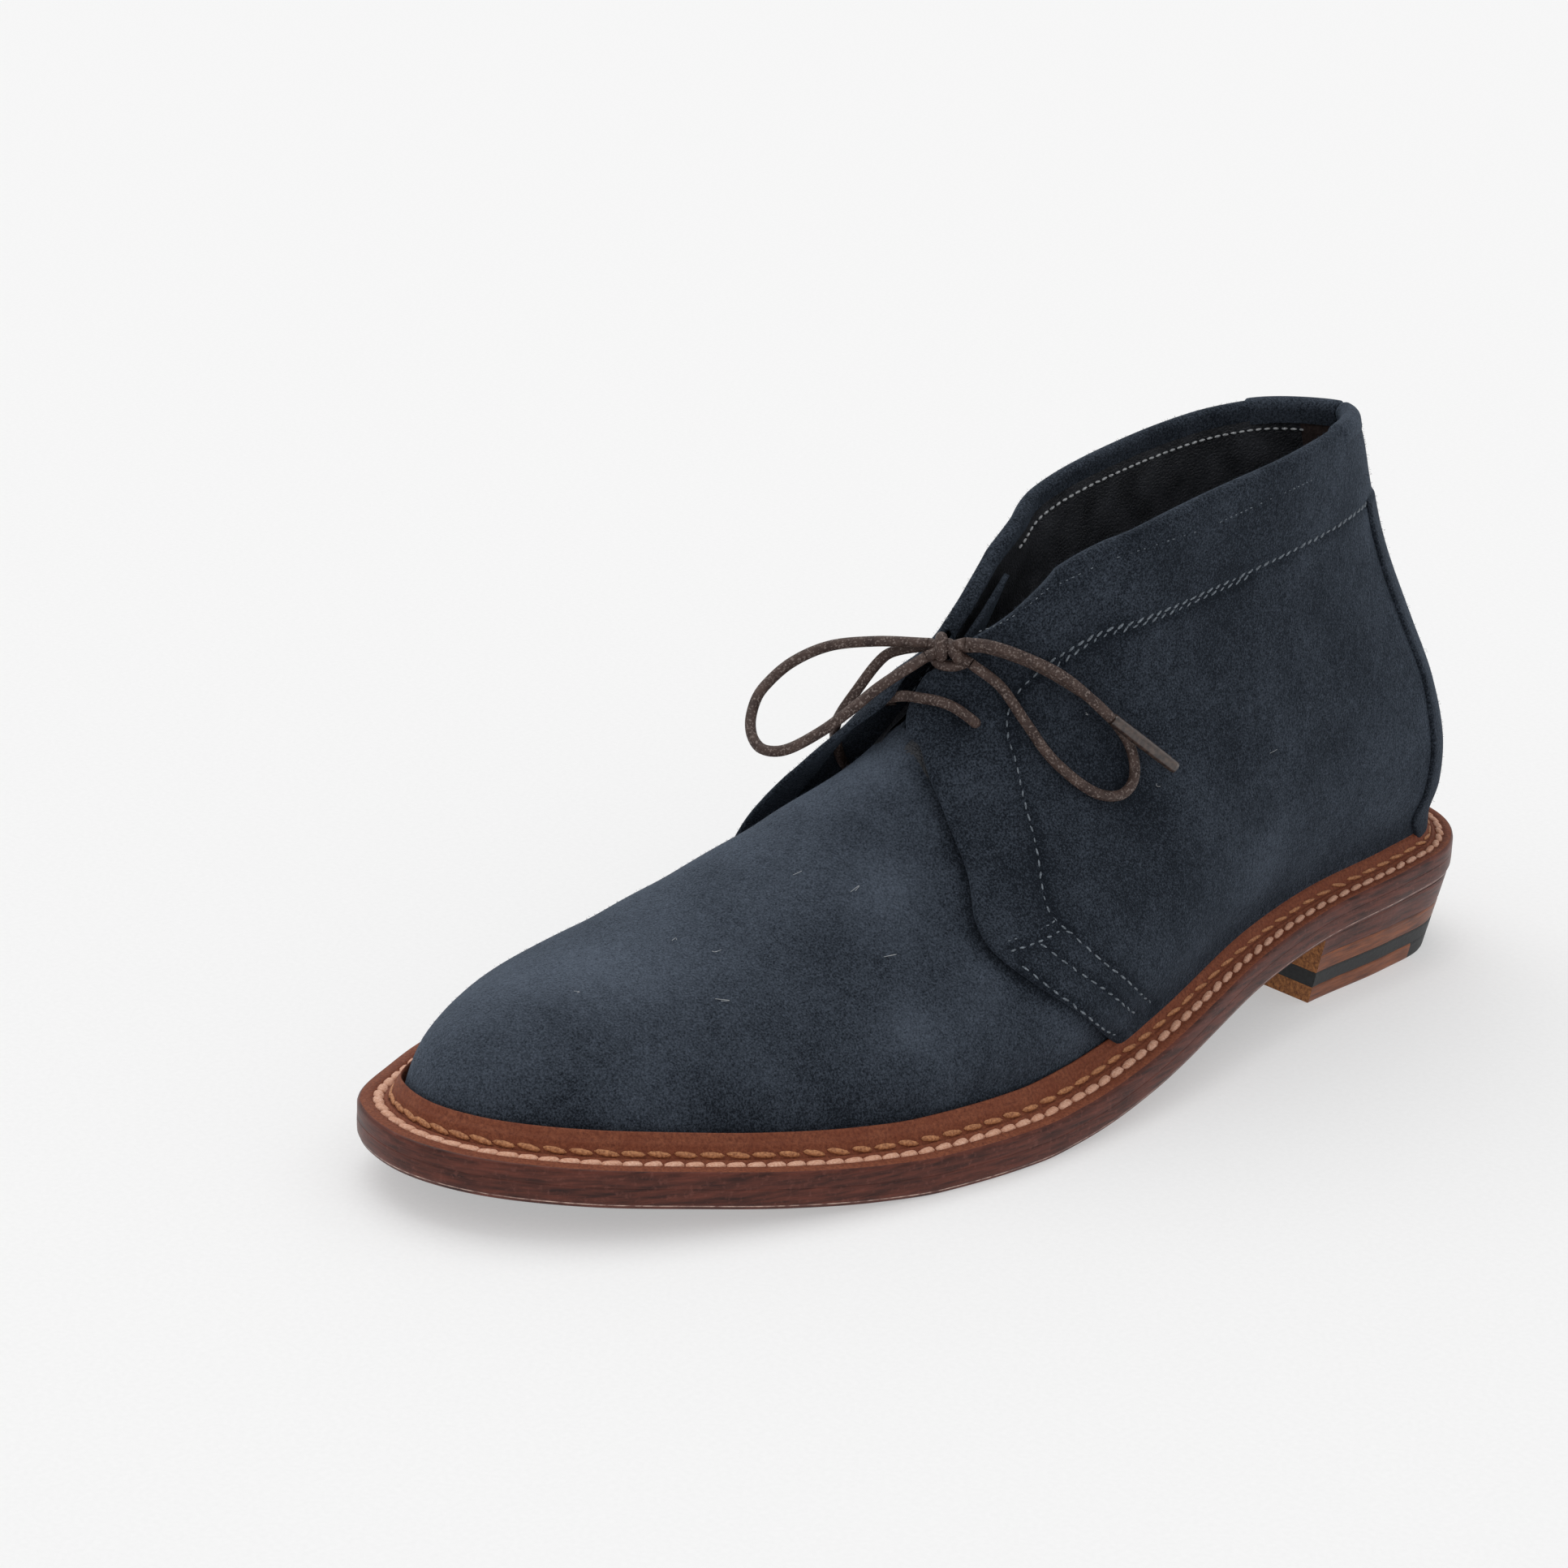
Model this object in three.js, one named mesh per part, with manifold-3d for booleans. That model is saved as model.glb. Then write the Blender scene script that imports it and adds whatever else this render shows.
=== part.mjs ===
// Chukka boot for the left foot, empty and standing on its heel and forefoot.
// Millimetres, +Z up, toe towards -Y, outer (lateral) side towards +X, floor at z = 0.
// The upper is one field: half a breadth for every point of the side view, ringed from
// the feather line (where it meets the welt) up to the collar.
import * as THREE from "three";
import { mergeVertices } from "three/addons/utils/BufferGeometryUtils.js";
import Module from "manifold-3d";

const wasm = await Module();
wasm.setup();

// ---- driving dimensions ----
const SOLE_EDGE = 8.6; // outsole and the flat of the welt together
const OUTSOLE_THICK = 4.8;
const GAP = 0.3; // clearance between neighbouring pieces
const FEATHER_INSET = 9.3; // from the sole's edge in to the upper
const LIP_HEIGHT = 4.6; // storm lip of the welt above the welt's flat
const WALL = 1.5; // vamp and lining together
const QUARTER_THICK = 1.5;
const BACKSTAY_THICK = 1.2;
const INSOLE_THICK = 3.0;
const BREAST_Y = -26; // front face of the heel
const HEEL_TAPER = 5.2; // how far the heel draws in at the floor
const TOP_PIECE = 4.0;
const RUBBER_LAYER = 3.6;
const LIFT = 4.2;
const TIP_Y = 14; // the rubber tip of the heel starts here
const COLLAR_HALF = 18.4; // half the breadth of the collar
const THROAT_GAP = 6.4; // between the two facings
const LACE = 2.4;
const KNOT_CORD = 2.8; // the wraps of the knot, pressed flat and wide
const AGLET = 3.0;
const RINGS = 18;
const AROUND = 22; // steps from toe to heel, per side
const SOLE_STEPS = 32;
const SLIVER = 0.01; // facets thinner than this are closed up

// ---- tables ----
// sole edge, seen from above, from the back of the heel round the outer side
const OUTLINE = [
  [-0.5, 40], [17, 36], [28.5, 24], [33, 4], [36, -25], [42, -55], [50.5, -88],
  [56, -120], [57, -150], [52, -182], [41.5, -213], [27.5, -239.2], [10, -256.2],
  [-8, -262], [-26.7, -257], [-40.3, -238.6], [-53, -212.5], [-55.5, -182],
  [-52.5, -150], [-42.5, -115], [-32.5, -85], [-29, -55], [-31, -25],
  [-32.5, 4], [-28.5, 24], [-18, 36],
];
// underside of the sole: toe spring, tread, arch, heel seat
const BOTTOM = [
  { y: -264, z: 9.2 }, { y: -245, z: 7.7 }, { y: -225, z: 5.9 }, { y: -200, z: 2.9 },
  { y: -180, z: 0.9 }, { y: -165, z: 0 }, { y: -138, z: 0 }, { y: -125, z: 0.9 },
  { y: -100, z: 4.6 }, { y: -75, z: 10.2 }, { y: -50, z: 14.9 }, { y: -26, z: 17.2 },
  { y: 42, z: 20.5 },
];
// top line of toe, vamp and instep, running on as the front of the leg
const RIDGE = [
  { y: -252.6, z: 14.2, x: -8 }, { y: -251.6, z: 22.5, x: -8 }, { y: -248.5, z: 29, x: -8.5 },
  { y: -241, z: 35, x: -9.5 }, { y: -225, z: 39.7, x: -10.5 }, { y: -200, z: 44.2, x: -11 },
  { y: -175, z: 51.8, x: -10.5 }, { y: -150, z: 62.7, x: -9 }, { y: -132, z: 74, x: -6 },
  { y: -125, z: 83, x: -4 }, { y: -119, z: 91.5, x: -2 }, { y: -114, z: 98.5, x: -1 },
  { y: -105, z: 111, x: 0 }, { y: -97, z: 124, x: 0 }, { y: -86, z: 149, x: 0 },
  { y: -76, z: 235, x: 0 }, { y: -60, z: 380, x: 0 }, { y: -20, z: 800, x: 0 },
  { y: 42, z: 1200, x: 0 },
];
// back of the upper from the heel seat to the collar
const BACK = [
  { z: 20, y: 30.6 }, { z: 34, y: 30.6 }, { z: 42, y: 32.8 }, { z: 50, y: 32.2 },
  { z: 65, y: 28.8 }, { z: 80, y: 22.7 }, { z: 100, y: 14.8 }, { z: 115, y: 10.5 },
  { z: 124, y: 7.5 }, { z: 131, y: 4.5 }, { z: 150, y: 2 },
];
// collar line from the top of the throat to the back
const COLLAR = [
  { y: -116, z: 95.5 }, { y: -113, z: 99 }, { y: -105, z: 106 }, { y: -97, z: 112 },
  { y: -86, z: 117.5 }, { y: -76, z: 121.5 }, { y: -60, z: 125.4 }, { y: -35, z: 129.3 },
  { y: -20, z: 131.2 }, { y: -8, z: 132 }, { y: 6, z: 131.4 },
];
// roundness of the cross-section: 2 is an ellipse
const ROUND = [
  { y: -253, p: 2.2 }, { y: -225, p: 2.1 }, { y: -180, p: 2.0 }, { y: -140, p: 1.85 },
  { y: -115, p: 2.0 }, { y: -60, p: 2.4 }, { y: 42, p: 2.4 },
];
// share of breadth added at a height above the feather line
const SWELL = [
  { h: 0, fore: 0, heel: 0 }, { h: 8, fore: 0, heel: 0 }, { h: 17, fore: 0.035, heel: 0.055 },
  { h: 28, fore: 0.01, heel: 0.095 }, { h: 47, fore: -0.12, heel: 0.075 },
  { h: 72, fore: -0.25, heel: 0.02 }, { h: 110, fore: -0.34, heel: -0.05 },
];
// front edge of the quarters in the side view, welt to throat
const QUARTER_FRONT = [
  [-99, 8], [-104.9, 14.6], [-114, 22], [-125.4, 31], [-131.5, 36], [-134.6, 39.5],
  [-135.1, 43.9], [-130.9, 52.9], [-129.4, 63.1], [-128.9, 68.2], [-127.6, 75.3], [-125.6, 82],
];
// the inner quarter reaches further forward
const INNER_FRONT = [
  [-119, 8], [-125, 14.6], [-132.5, 22], [-140, 31], [-143.5, 36], [-145.5, 41], [-145, 47],
  [-143, 54], [-139.5, 61], [-135, 68.2], [-130, 75.3], [-126, 82],
];
// front edge of the backstay in the side view: it widens downwards round the heel
const BACKSTAY_FRONT = [
  [17, 18], [20, 36], [23, 47], [24, 59], [22, 69], [18, 80], [14.5, 90], [9.6, 108],
];

// ---- curves and outlines ----
// a smooth, never overshooting curve through the rows of a table
function through(rows, from, to) {
  const x = rows.map((r) => r[from]), y = rows.map((r) => r[to]), n = x.length;
  const step = (i) => x[i + 1] - x[i], rise = (i) => (y[i + 1] - y[i]) / step(i);
  const slope = x.map((_, i) => {
    if (i === 0) return rise(0);
    if (i === n - 1) return rise(n - 2);
    const a = rise(i - 1), b = rise(i);
    if (a * b <= 0) return 0;
    const wa = 2 * step(i) + step(i - 1), wb = step(i) + 2 * step(i - 1);
    return (wa + wb) / (wa / a + wb / b);
  });
  return (at) => {
    const v = Math.min(Math.max(at, x[0]), x[n - 1]);
    let i = 0;
    while (i < n - 2 && v > x[i + 1]) i += 1;
    const w = step(i), t = (v - x[i]) / w, t2 = t * t, t3 = t2 * t;
    return y[i] * (2 * t3 - 3 * t2 + 1) + slope[i] * w * (t3 - 2 * t2 + t)
      + y[i + 1] * (3 * t2 - 2 * t3) + slope[i + 1] * w * (t3 - t2);
  };
}
const mix = (a, b, t) => a + (b - a) * t;
const clamp01 = (t) => Math.min(Math.max(t, 0), 1);
const ease = (a, b, v) => { const t = clamp01((v - a) / (b - a)); return t * t * (3 - 2 * t); };

const underside = through(BOTTOM, "y", "z");
const ridgeZ = through(RIDGE, "y", "z");
const ridgeX = through(RIDGE, "y", "x");
const backY = through(BACK, "z", "y");
const collarZ = through(COLLAR, "y", "z");
const roundness = through(ROUND, "y", "p");
const swellFore = through(SWELL, "h", "fore");
const swellHeel = through(SWELL, "h", "heel");
const feather = (y) => underside(y) + OUTSOLE_THICK + GAP;

const edgeCurve = new THREE.CatmullRomCurve3(
  OUTLINE.map(([x, y]) => new THREE.Vector3(x, y, 0)), true, "centripetal");
const edgePoints = Array.from({ length: 480 }, (_, i) => edgeCurve.getPoint(i / 480));

// the sole's edge drawn in by a distance, split into its two sides
function insetOutline(inset) {
  const n = edgePoints.length;
  const pts = edgePoints.map((p, i) => {
    const t = edgePoints[(i + 1) % n].clone().sub(edgePoints[(i + n - 1) % n]).normalize();
    return new THREE.Vector2(p.x + t.y * inset, p.y - t.x * inset);
  });
  let toe = 0, heel = 0;
  pts.forEach((p, i) => {
    if (p.y < pts[toe].y) toe = i;
    if (p.y > pts[heel].y) heel = i;
  });
  const walk = (from, to) => {
    const out = [];
    for (let i = from; ; i = (i + 1) % n) { out.push(pts[i]); if (i === to) return out; }
  };
  const outer = walk(heel, toe).reverse(), inner = walk(toe, heel);
  const at = (side, y) => {
    let i = 1;
    while (i < side.length - 1 && side[i].y < y) i += 1;
    const a = side[i - 1], b = side[i];
    return mix(a.x, b.x, clamp01((y - a.y) / Math.max(b.y - a.y, 1e-6)));
  };
  return { toe: pts[toe].y, heel: pts[heel].y, outer: (y) => at(outer, y), inner: (y) => at(inner, y) };
}
const featherLine = insetOutline(FEATHER_INSET);

// ---- meshes made of rings ----
const cosine = (t) => (1 - Math.cos(Math.PI * t)) / 2;

// closed loop round an inset outline: toe to heel on the outer side, back on the inner side;
// a loop cut off at the breast of the heel starts with a straight edge instead of the toe
function soleLoop(inset, height, steps, front = null) {
  const line = insetOutline(inset), from = front ?? line.toe, loop = [];
  const y = (i) => (front === null ? mix(from, line.heel, cosine(i / steps))
    : mix(from, line.heel, Math.sin((Math.PI / 2) * (i / steps))));
  for (let i = 0; i <= steps; i += 1) {
    loop.push(new THREE.Vector3(line.outer(y(i)), y(i), height(y(i))));
  }
  for (let i = steps - 1; i >= (front === null ? 1 : 0); i -= 1) {
    loop.push(new THREE.Vector3(line.inner(y(i)), y(i), height(y(i))));
  }
  return loop;
}

// skin over loops from the bottom up; capped top and bottom, or closed into a hollow wall
function skin(loops, capped) {
  const n = loops[0].length, at = (l, i) => l * n + (i % n), index = [];
  const last = capped ? loops.length - 1 : loops.length;
  for (let l = 0; l < last; l += 1) {
    const up = (l + 1) % loops.length;
    const inside = !capped && l >= loops.length / 2; // runs down: same diagonals as the outside
    for (let i = 0; i < n; i += 1) {
      if (inside) index.push(at(l, i), at(l, i + 1), at(up, i), at(l, i + 1), at(up, i + 1), at(up, i));
      else index.push(at(l, i), at(l, i + 1), at(up, i + 1), at(l, i), at(up, i + 1), at(up, i));
    }
  }
  if (capped) {
    const top = loops.length - 1;
    for (let i = 0, j = n - 1; i + 1 < j; ) {
      index.push(at(0, j), at(0, i + 1), at(0, i), at(top, i), at(top, i + 1), at(top, j));
      i += 1;
      if (i + 1 < j) {
        index.push(at(0, j), at(0, j - 1), at(0, i), at(top, i), at(top, j - 1), at(top, j));
        j -= 1;
      }
    }
  }
  return solid(loops.flat(), index);
}

function solid(points, index) {
  const mesh = { numProp: 3, vertProperties: new Float32Array(points.flatMap((p) => p.toArray())),
    triVerts: new Uint32Array(index) };
  return new wasm.Manifold(new wasm.Mesh(mesh));
}

// ---- the upper's own function ----
const BLEND_Y = -12; // behind this the plan follows the back curve
const LEG_CENTRE = -45;
function breadth(y, z, side) {
  const base = feather(y), h = Math.max(z - base, 0);
  const rise = clamp01(h / Math.max(ridgeZ(y) - base, 1e-3));
  const back = backY(z);
  const plan = y > BLEND_Y
    ? BLEND_Y + (y - BLEND_Y) * (featherLine.heel - BLEND_Y) / (back - BLEND_Y) : y;
  const yy = Math.min(Math.max(plan, featherLine.toe), featherLine.heel);
  const outer = featherLine.outer(yy), inner = featherLine.inner(yy);
  const heelwards = ease(-90, -20, y);
  const swell = mix(swellFore(h), swellHeel(h), heelwards);
  const leg = ease(20, 95, h) * ease(-180, -110, y);
  const along = clamp01((y - LEG_CENTRE) / (back - LEG_CENTRE));
  const legHalf = COLLAR_HALF * Math.max(1 - along ** 2.2, 0) ** 0.62;
  const half = mix(((outer - inner) / 2) * (1 + swell), legHalf, leg);
  const round = Math.sqrt(Math.max(1 - rise ** roundness(y), 0));
  const centre = mix(mix((outer + inner) / 2, ridgeX(y), rise ** 1.5), ridgeX(y), leg);
  return centre + side * half * round;
}

// points spaced evenly by length along a polyline of the side view
function evenly(points) {
  const run = [0];
  for (let i = 1; i < points.length; i += 1) {
    run.push(run[i - 1] + points[i].distanceTo(points[i - 1]));
  }
  return (t) => {
    const want = t * run[run.length - 1];
    let i = 1;
    while (i < points.length - 1 && run[i] < want) i += 1;
    const w = (want - run[i - 1]) / Math.max(run[i] - run[i - 1], 1e-9);
    return points[i - 1].clone().lerp(points[i], clamp01(w));
  };
}

// side view of the upper: s runs from the front line to the back, v from feather to collar
const THROAT = COLLAR[0].y;
const PARTING = 0.7;
function sideView() {
  const start = new THREE.Vector2(featherLine.toe, feather(featherLine.toe));
  const end = new THREE.Vector2(featherLine.heel, feather(featherLine.heel));
  const front = [start], back = [end];
  for (let i = 1; i <= 240; i += 1) {
    const y = i <= 40 ? mix(-252.6, -245, i / 40) : mix(-245, THROAT, (i - 40) / 200);
    front.push(new THREE.Vector2(y, ridgeZ(y)));
  }
  const topY = backY(131), topZ = collarZ(topY);
  const frontGap = ridgeZ(THROAT) - collarZ(THROAT); // so that the two lines meet at the throat
  for (let i = 1; i <= 120; i += 1) {
    const z = mix(end.y, topZ, i / 120);
    back.push(new THREE.Vector2(backY(z), z));
  }
  const frontAt = evenly(front), backAt = evenly(back);
  return (s, v) => {
    const u = cosine(s), f = frontAt(v), b = backAt(v);
    const lowY = mix(start.x, end.x, u), topYs = mix(THROAT, topY, u);
    const low = new THREE.Vector2(lowY, feather(lowY));
    const top = new THREE.Vector2(topYs, collarZ(topYs) + frontGap * (1 - u));
    const corners = (k) => mix(mix(start[k], end[k], u), mix(frontAt(1)[k], backAt(1)[k], u), v);
    const blend = (k) => mix(f[k], b[k], u) + mix(low[k], top[k], v) - corners(k);
    const y = blend("x"); // and never above the top line, so the sides part at once
    return [y, Math.min(blend("y"), mix(feather(y), ridgeZ(y), 1 - PARTING * u))];
  };
}
const upperSide = sideView();

// closed rings of the upper, feather line first
function upperRings() {
  const rings = [];
  for (let r = 0; r <= RINGS; r += 1) {
    const ring = [], point = (i, side) => {
      const [y, z] = upperSide(i / AROUND, r / RINGS);
      return new THREE.Vector3(breadth(y, z, side), y, z);
    };
    for (let i = 0; i <= AROUND; i += 1) ring.push(point(i, 1));
    for (let i = AROUND - 1; i >= 1; i -= 1) ring.push(point(i, -1));
    rings.push(ring);
  }
  return rings;
}

// rings pushed out (or in, when negative) square to the surface
function offsetRings(rings, distance) {
  const n = rings[0].length, top = rings.length - 1;
  return rings.map((ring, r) => ring.map((p, i) => {
    const round = ring[(i + 1) % n].clone().sub(ring[(i + n - 1) % n]);
    const up = rings[Math.min(r + 1, top)][i].clone().sub(rings[Math.max(r - 1, 0)][i]);
    const out = round.cross(up);
    if (r === 0 || r === top) out.z = 0;
    return p.clone().addScaledVector(out.normalize(), distance);
  }));
}
const shell = (rings, outer, inner) =>
  skin([...offsetRings(rings, outer), ...offsetRings(rings, inner).reverse()], false);

const box = (x0, x1, y0, y1, z0, z1) =>
  wasm.Manifold.cube([x1 - x0, y1 - y0, z1 - z0]).translate([x0, y0, z0]);

// prism of a side-view outline, reaching from x0 to x1
function sidePrism(outline, x0, x1) {
  const flat = new wasm.CrossSection([outline], "NonZero");
  return flat.extrude(x1 - x0).transform([0, 1, 0, 0, 0, 0, 1, 0, 1, 0, 0, 0, x0, 0, 0, 1]);
}

const rings = upperRings();
const throatSlot = sidePrism(
  [[-140, 86.5], [-95, 86.5], [-95, 150], [-140, 150]], -THROAT_GAP / 2 - 1, THROAT_GAP / 2 - 1);
const lipShare = (y) => mix(1.15, 0.8, ease(-120, -50, y)); // the lip is higher at the forepart
const aboveLip = (inset) => skin([
  soleLoop(inset, (y) => underside(y) + SOLE_EDGE + LIP_HEIGHT * lipShare(y) + GAP, SOLE_STEPS),
  soleLoop(inset, () => 170, SOLE_STEPS)], true);

const upper = shell(rings, 0, -WALL).subtract(throatSlot);

// the quarters lie over the vamp: a wall outside the upper, cut to their outline
const quarterForm = shell(rings, GAP + QUARTER_THICK, GAP).intersect(aboveLip(-12));
const quarterOutline = (front) => [...front, [-150, 96], [-150, 160], [60, 160], [60, 8]];
const quarter = (side) => quarterForm
  .intersect(sidePrism(quarterOutline(side > 0 ? QUARTER_FRONT : INNER_FRONT),
    side > 0 ? GAP / 2 : -90, side > 0 ? 90 : -GAP / 2))
  .subtract(sidePrism([[-150, 79], [-95, 79], [-95, 150], [-150, 150]],
    -THROAT_GAP / 2 - 1, THROAT_GAP / 2 - 1));

const stayFloor = GAP + QUARTER_THICK + GAP;
const backstay = shell(rings, stayFloor + BACKSTAY_THICK, stayFloor).intersect(aboveLip(-12))
  .intersect(sidePrism([...BACKSTAY_FRONT, [60, 108], [60, 18]], -40, 40));

// ---- sole and heel ----
// welt: flat band on the outsole with a storm lip standing against the upper
const weltFoot = OUTSOLE_THICK + GAP, weltFlat = SOLE_EDGE - weltFoot;
const WELT_PROFILE = [
  [8.9, 0], [0.5, 0], [0, 0.6], [0, 2.3], [0.8, 3.2], [5.6, weltFlat], [6.8, weltFlat + 1.5],
  [7.9, weltFlat + 3.8], [8.9, weltFlat + LIP_HEIGHT],
];
const welt = skin(WELT_PROFILE.map(([inset, h]) => soleLoop(inset, (y) => {
  const lip = Math.max(h - weltFlat, 0);
  return underside(y) + weltFoot + h - lip + lip * lipShare(y);
}, SOLE_STEPS)), false);

const outsole = skin([[1.4, 0], [0.3, 0.9], [0, 1.6], [0, OUTSOLE_THICK]].map(([inset, h]) =>
  soleLoop(inset, (y) => underside(y) + h, SOLE_STEPS)), true);

const insoleInset = FEATHER_INSET + WALL + 1.1;
const insole = skin([[0.6, 0], [0, 0.8], [0, INSOLE_THICK]].map(([inset, h]) =>
  soleLoop(insoleInset + inset, (y) => feather(y) + h, SOLE_STEPS)), true);

// heel piece between two heights, drawn in towards the floor
const HEEL_STEPS = 18;
const seat = (y) => underside(y) - GAP;
function heelPiece(low, high, front = BREAST_Y) {
  const drawIn = (z) => mix(HEEL_TAPER, 1.2, z / 18);
  const level = (z) => soleLoop(drawIn(z), () => z, HEEL_STEPS, front);
  const top = high === null ? soleLoop(drawIn(18), seat, HEEL_STEPS, front) : level(high);
  return skin([level(low), top], true);
}
const rubberFloor = TOP_PIECE + GAP;
const liftFloor = rubberFloor + RUBBER_LAYER + GAP;
const wedgeFloor = liftFloor + LIFT + GAP;
const topPiece = heelPiece(0, TOP_PIECE);
const tipCut = box(-60, 60, TIP_Y, 60, -1, 20);
const tipKeep = box(-60, 60, TIP_Y + GAP, 60, -1, 20);

// ---- tongue: a tapered copy of the instep drawn in under the facings ----
const TONGUE = { low: 0.64, high: 0.985, reach: 0.26, rows: 12, steps: 9 };
function tongueLoops() {
  const layer = (squeeze, drop) => {
    const rows = [];
    for (let r = 0; r <= TONGUE.rows; r += 1) {
      const v = mix(TONGUE.low, TONGUE.high, r / TONGUE.rows), row = [];
      for (let k = -TONGUE.steps; k <= TONGUE.steps; k += 1) {
        const [y, z] = upperSide(TONGUE.reach * Math.abs(k) / TONGUE.steps, v);
        const x = breadth(y, z, k < 0 ? 1 : -1), mid = ridgeX(y);
        row.push(new THREE.Vector3(mid + (x - mid) * squeeze, y + drop, z - drop * 0.9));
      }
      rows.push(row);
    }
    return rows;
  };
  const above = layer(0.8, 2.6), below = layer(0.74, 4.0);
  return above.map((row, r) => [...row, ...below[r].reverse()]).reverse();
}
const tongue = skin(tongueLoops(), true);

// ---- laces ----
const V3 = (p) => new THREE.Vector3(...p);
const smoothPath = (points) => new THREE.CatmullRomCurve3(points.map(V3), false, "centripetal");
function cord(points, diameter, steps, sides = 8) {
  const ring = new THREE.Shape(Array.from({ length: sides }, (_, i) => {
    const a = (2 * Math.PI * i) / sides;
    return new THREE.Vector2((diameter / 2) * Math.cos(a), (diameter / 2) * Math.sin(a));
  }));
  return new THREE.ExtrudeGeometry(ring, { steps, bevelEnabled: false, extrudePath: smoothPath(points) });
}
// the same cord as a body that can be joined to another
function cordBody(points, diameter, steps) {
  const tube = cord(points, diameter, steps);
  tube.deleteAttribute("normal");
  tube.deleteAttribute("uv");
  const merged = mergeVertices(tube, 1e-3);
  return new wasm.Manifold(new wasm.Mesh({ numProp: 3,
    vertProperties: new Float32Array(merged.attributes.position.array),
    triVerts: new Uint32Array(merged.index.array) }));
}
// lower bar from the outer facing across to the inner one
const LOWER_BAR = [[10.7, -120.6, 83], [8.8, -122.2, 84.7], [6.8, -123.3, 85.7],
  [4, -125, 86.4], [1.3, -126.5, 86.5], [-3.2, -127.9, 86.1], [-8.2, -128.6, 84.3],
  [-12.9, -128.2, 82], [-16.9, -126.4, 79.6], [-18, -122.4, 79.4]];
// the knot's wraps, standing on the gap between the facings
const KNOT_UPRIGHT = [[0.1, -120.9, 98.5], [1, -121.7, 99.3], [2.1, -122.7, 99.2],
  [2.8, -123.3, 98.1], [2.8, -123.2, 96.7], [2.1, -122.5, 95.6], [1.1, -121.6, 95.5]];
const KNOT_SLANT = [[1.8, -120, 97.5], [2.8, -121, 98.2], [4.2, -121.5, 97.7],
  [5.1, -121.1, 96.6], [4.9, -120.1, 95.4], [3.8, -119.2, 95]];
const LOOP_INNER = [[0, -125.1, 95.3], [-1.3, -127.6, 93.6], [-4.4, -134.3, 89.1],
  [-6.5, -140.9, 84.3], [-8.8, -146.7, 80.2], [-12.5, -152.7, 76.4], [-15.1, -154.7, 75.5],
  [-18.1, -155.7, 75.6], [-21.1, -155.3, 76.9], [-23.8, -153.8, 79], [-25.8, -151.5, 81.4],
  [-26.9, -149.1, 83.8], [-27.1, -146.6, 85.8], [-25.7, -141.2, 89.9],
  [-21.1, -134.7, 93.8], [-12.4, -128.6, 96.2], [-1.5, -122.8, 97.6]];
const LOOP_OUTER = [[7.5, -118.7, 94.6], [12.2, -114.3, 90], [17, -110.7, 82.4],
  [21.8, -106.9, 74.7], [26.4, -100.8, 68.2], [28.3, -96.8, 65.9], [29.2, -92.1, 65.3],
  [28.9, -88.6, 66.9], [27.8, -86.8, 69.8], [25.4, -87, 75.5], [21.2, -92.7, 83.8],
  [18.3, -98.7, 88.8], [14.1, -107.7, 94.6], [8.2, -115.8, 97.9], [6.4, -118.3, 98]];
const END_OUTER = [[7.5, -120.6, 99.7], [10.6, -117.6, 99.5], [13.2, -114.2, 98.4],
  [16.8, -109.1, 95.9], [19.3, -104.5, 93.2], [21.7, -100.3, 89.7], [25.8, -93.1, 82.1]];
const AGLET_OUTER = [[25.9, -92.8, 81.9], [31.9, -78.4, 69.5]];
const END_INNER = [[-3.6, -121, 96.1], [-8.4, -124.3, 94.6], [-10.7, -126.2, 93.3],
  [-11.7, -128.4, 91.2], [-13.1, -132.9, 85.4], [-15.4, -135, 80.1], [-18.6, -133.6, 75.4],
  [-21.7, -129.7, 69.3], [-24.5, -124.9, 63.8], [-26.3, -118, 58.3]];
const AGLET_INNER = [[-26.4, -117.8, 58], [-30.1, -102.5, 45.5]];

// ---- materials and assembly ----
const group = new THREE.Group();
group.name = "chukka_boot";
function material(hex, roughness) {
  return new THREE.MeshStandardMaterial({ color: new THREE.Color(hex), roughness, metalness: 0 });
}
// the largest body left after cutting, without its slivers
const whole = (body) => body.simplify(SLIVER).decompose()
  .sort((a, b) => b.volume() - a.volume())[0];
function add(name, body, hex, roughness) {
  let geometry = body;
  if (!(body instanceof THREE.BufferGeometry)) {
    const mesh = whole(body).getMesh();
    geometry = new THREE.BufferGeometry();
    geometry.setAttribute("position", new THREE.BufferAttribute(mesh.vertProperties, mesh.numProp));
    geometry.setIndex(new THREE.BufferAttribute(mesh.triVerts, 1));
    geometry.computeVertexNormals();
  }
  const mesh = new THREE.Mesh(geometry, material(hex, roughness));
  mesh.name = name;
  group.add(mesh);
}

const NAVY = "#2f3b4b", LINING = "#232326", TAN = "#9a6236", BURGUNDY = "#4f2a22";
const STACK = "#6f3d26", BLACK = "#1c1d1f", LACE_BROWN = "#4a423f", CLEAR = "#8d8580";
add("outsole", outsole, BURGUNDY, 0.35);
add("welt", welt, TAN, 0.8);
add("insole", insole, LINING, 0.7);
add("heel_top_piece", topPiece.subtract(tipCut), STACK, 0.4);
add("heel_rubber_tip", topPiece.intersect(tipKeep), BLACK, 0.7);
add("heel_rubber_layer", heelPiece(rubberFloor, rubberFloor + RUBBER_LAYER), BLACK, 0.7);
add("heel_lift", heelPiece(liftFloor, liftFloor + LIFT), STACK, 0.4);
add("heel_wedge", heelPiece(wedgeFloor, null), STACK, 0.4);
add("upper", upper, NAVY, 0.95);
add("quarter_outer", quarter(1), NAVY, 0.95);
add("quarter_inner", quarter(-1), NAVY, 0.95);
add("backstay", backstay, NAVY, 0.95);
add("tongue", tongue, NAVY, 0.95);
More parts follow.
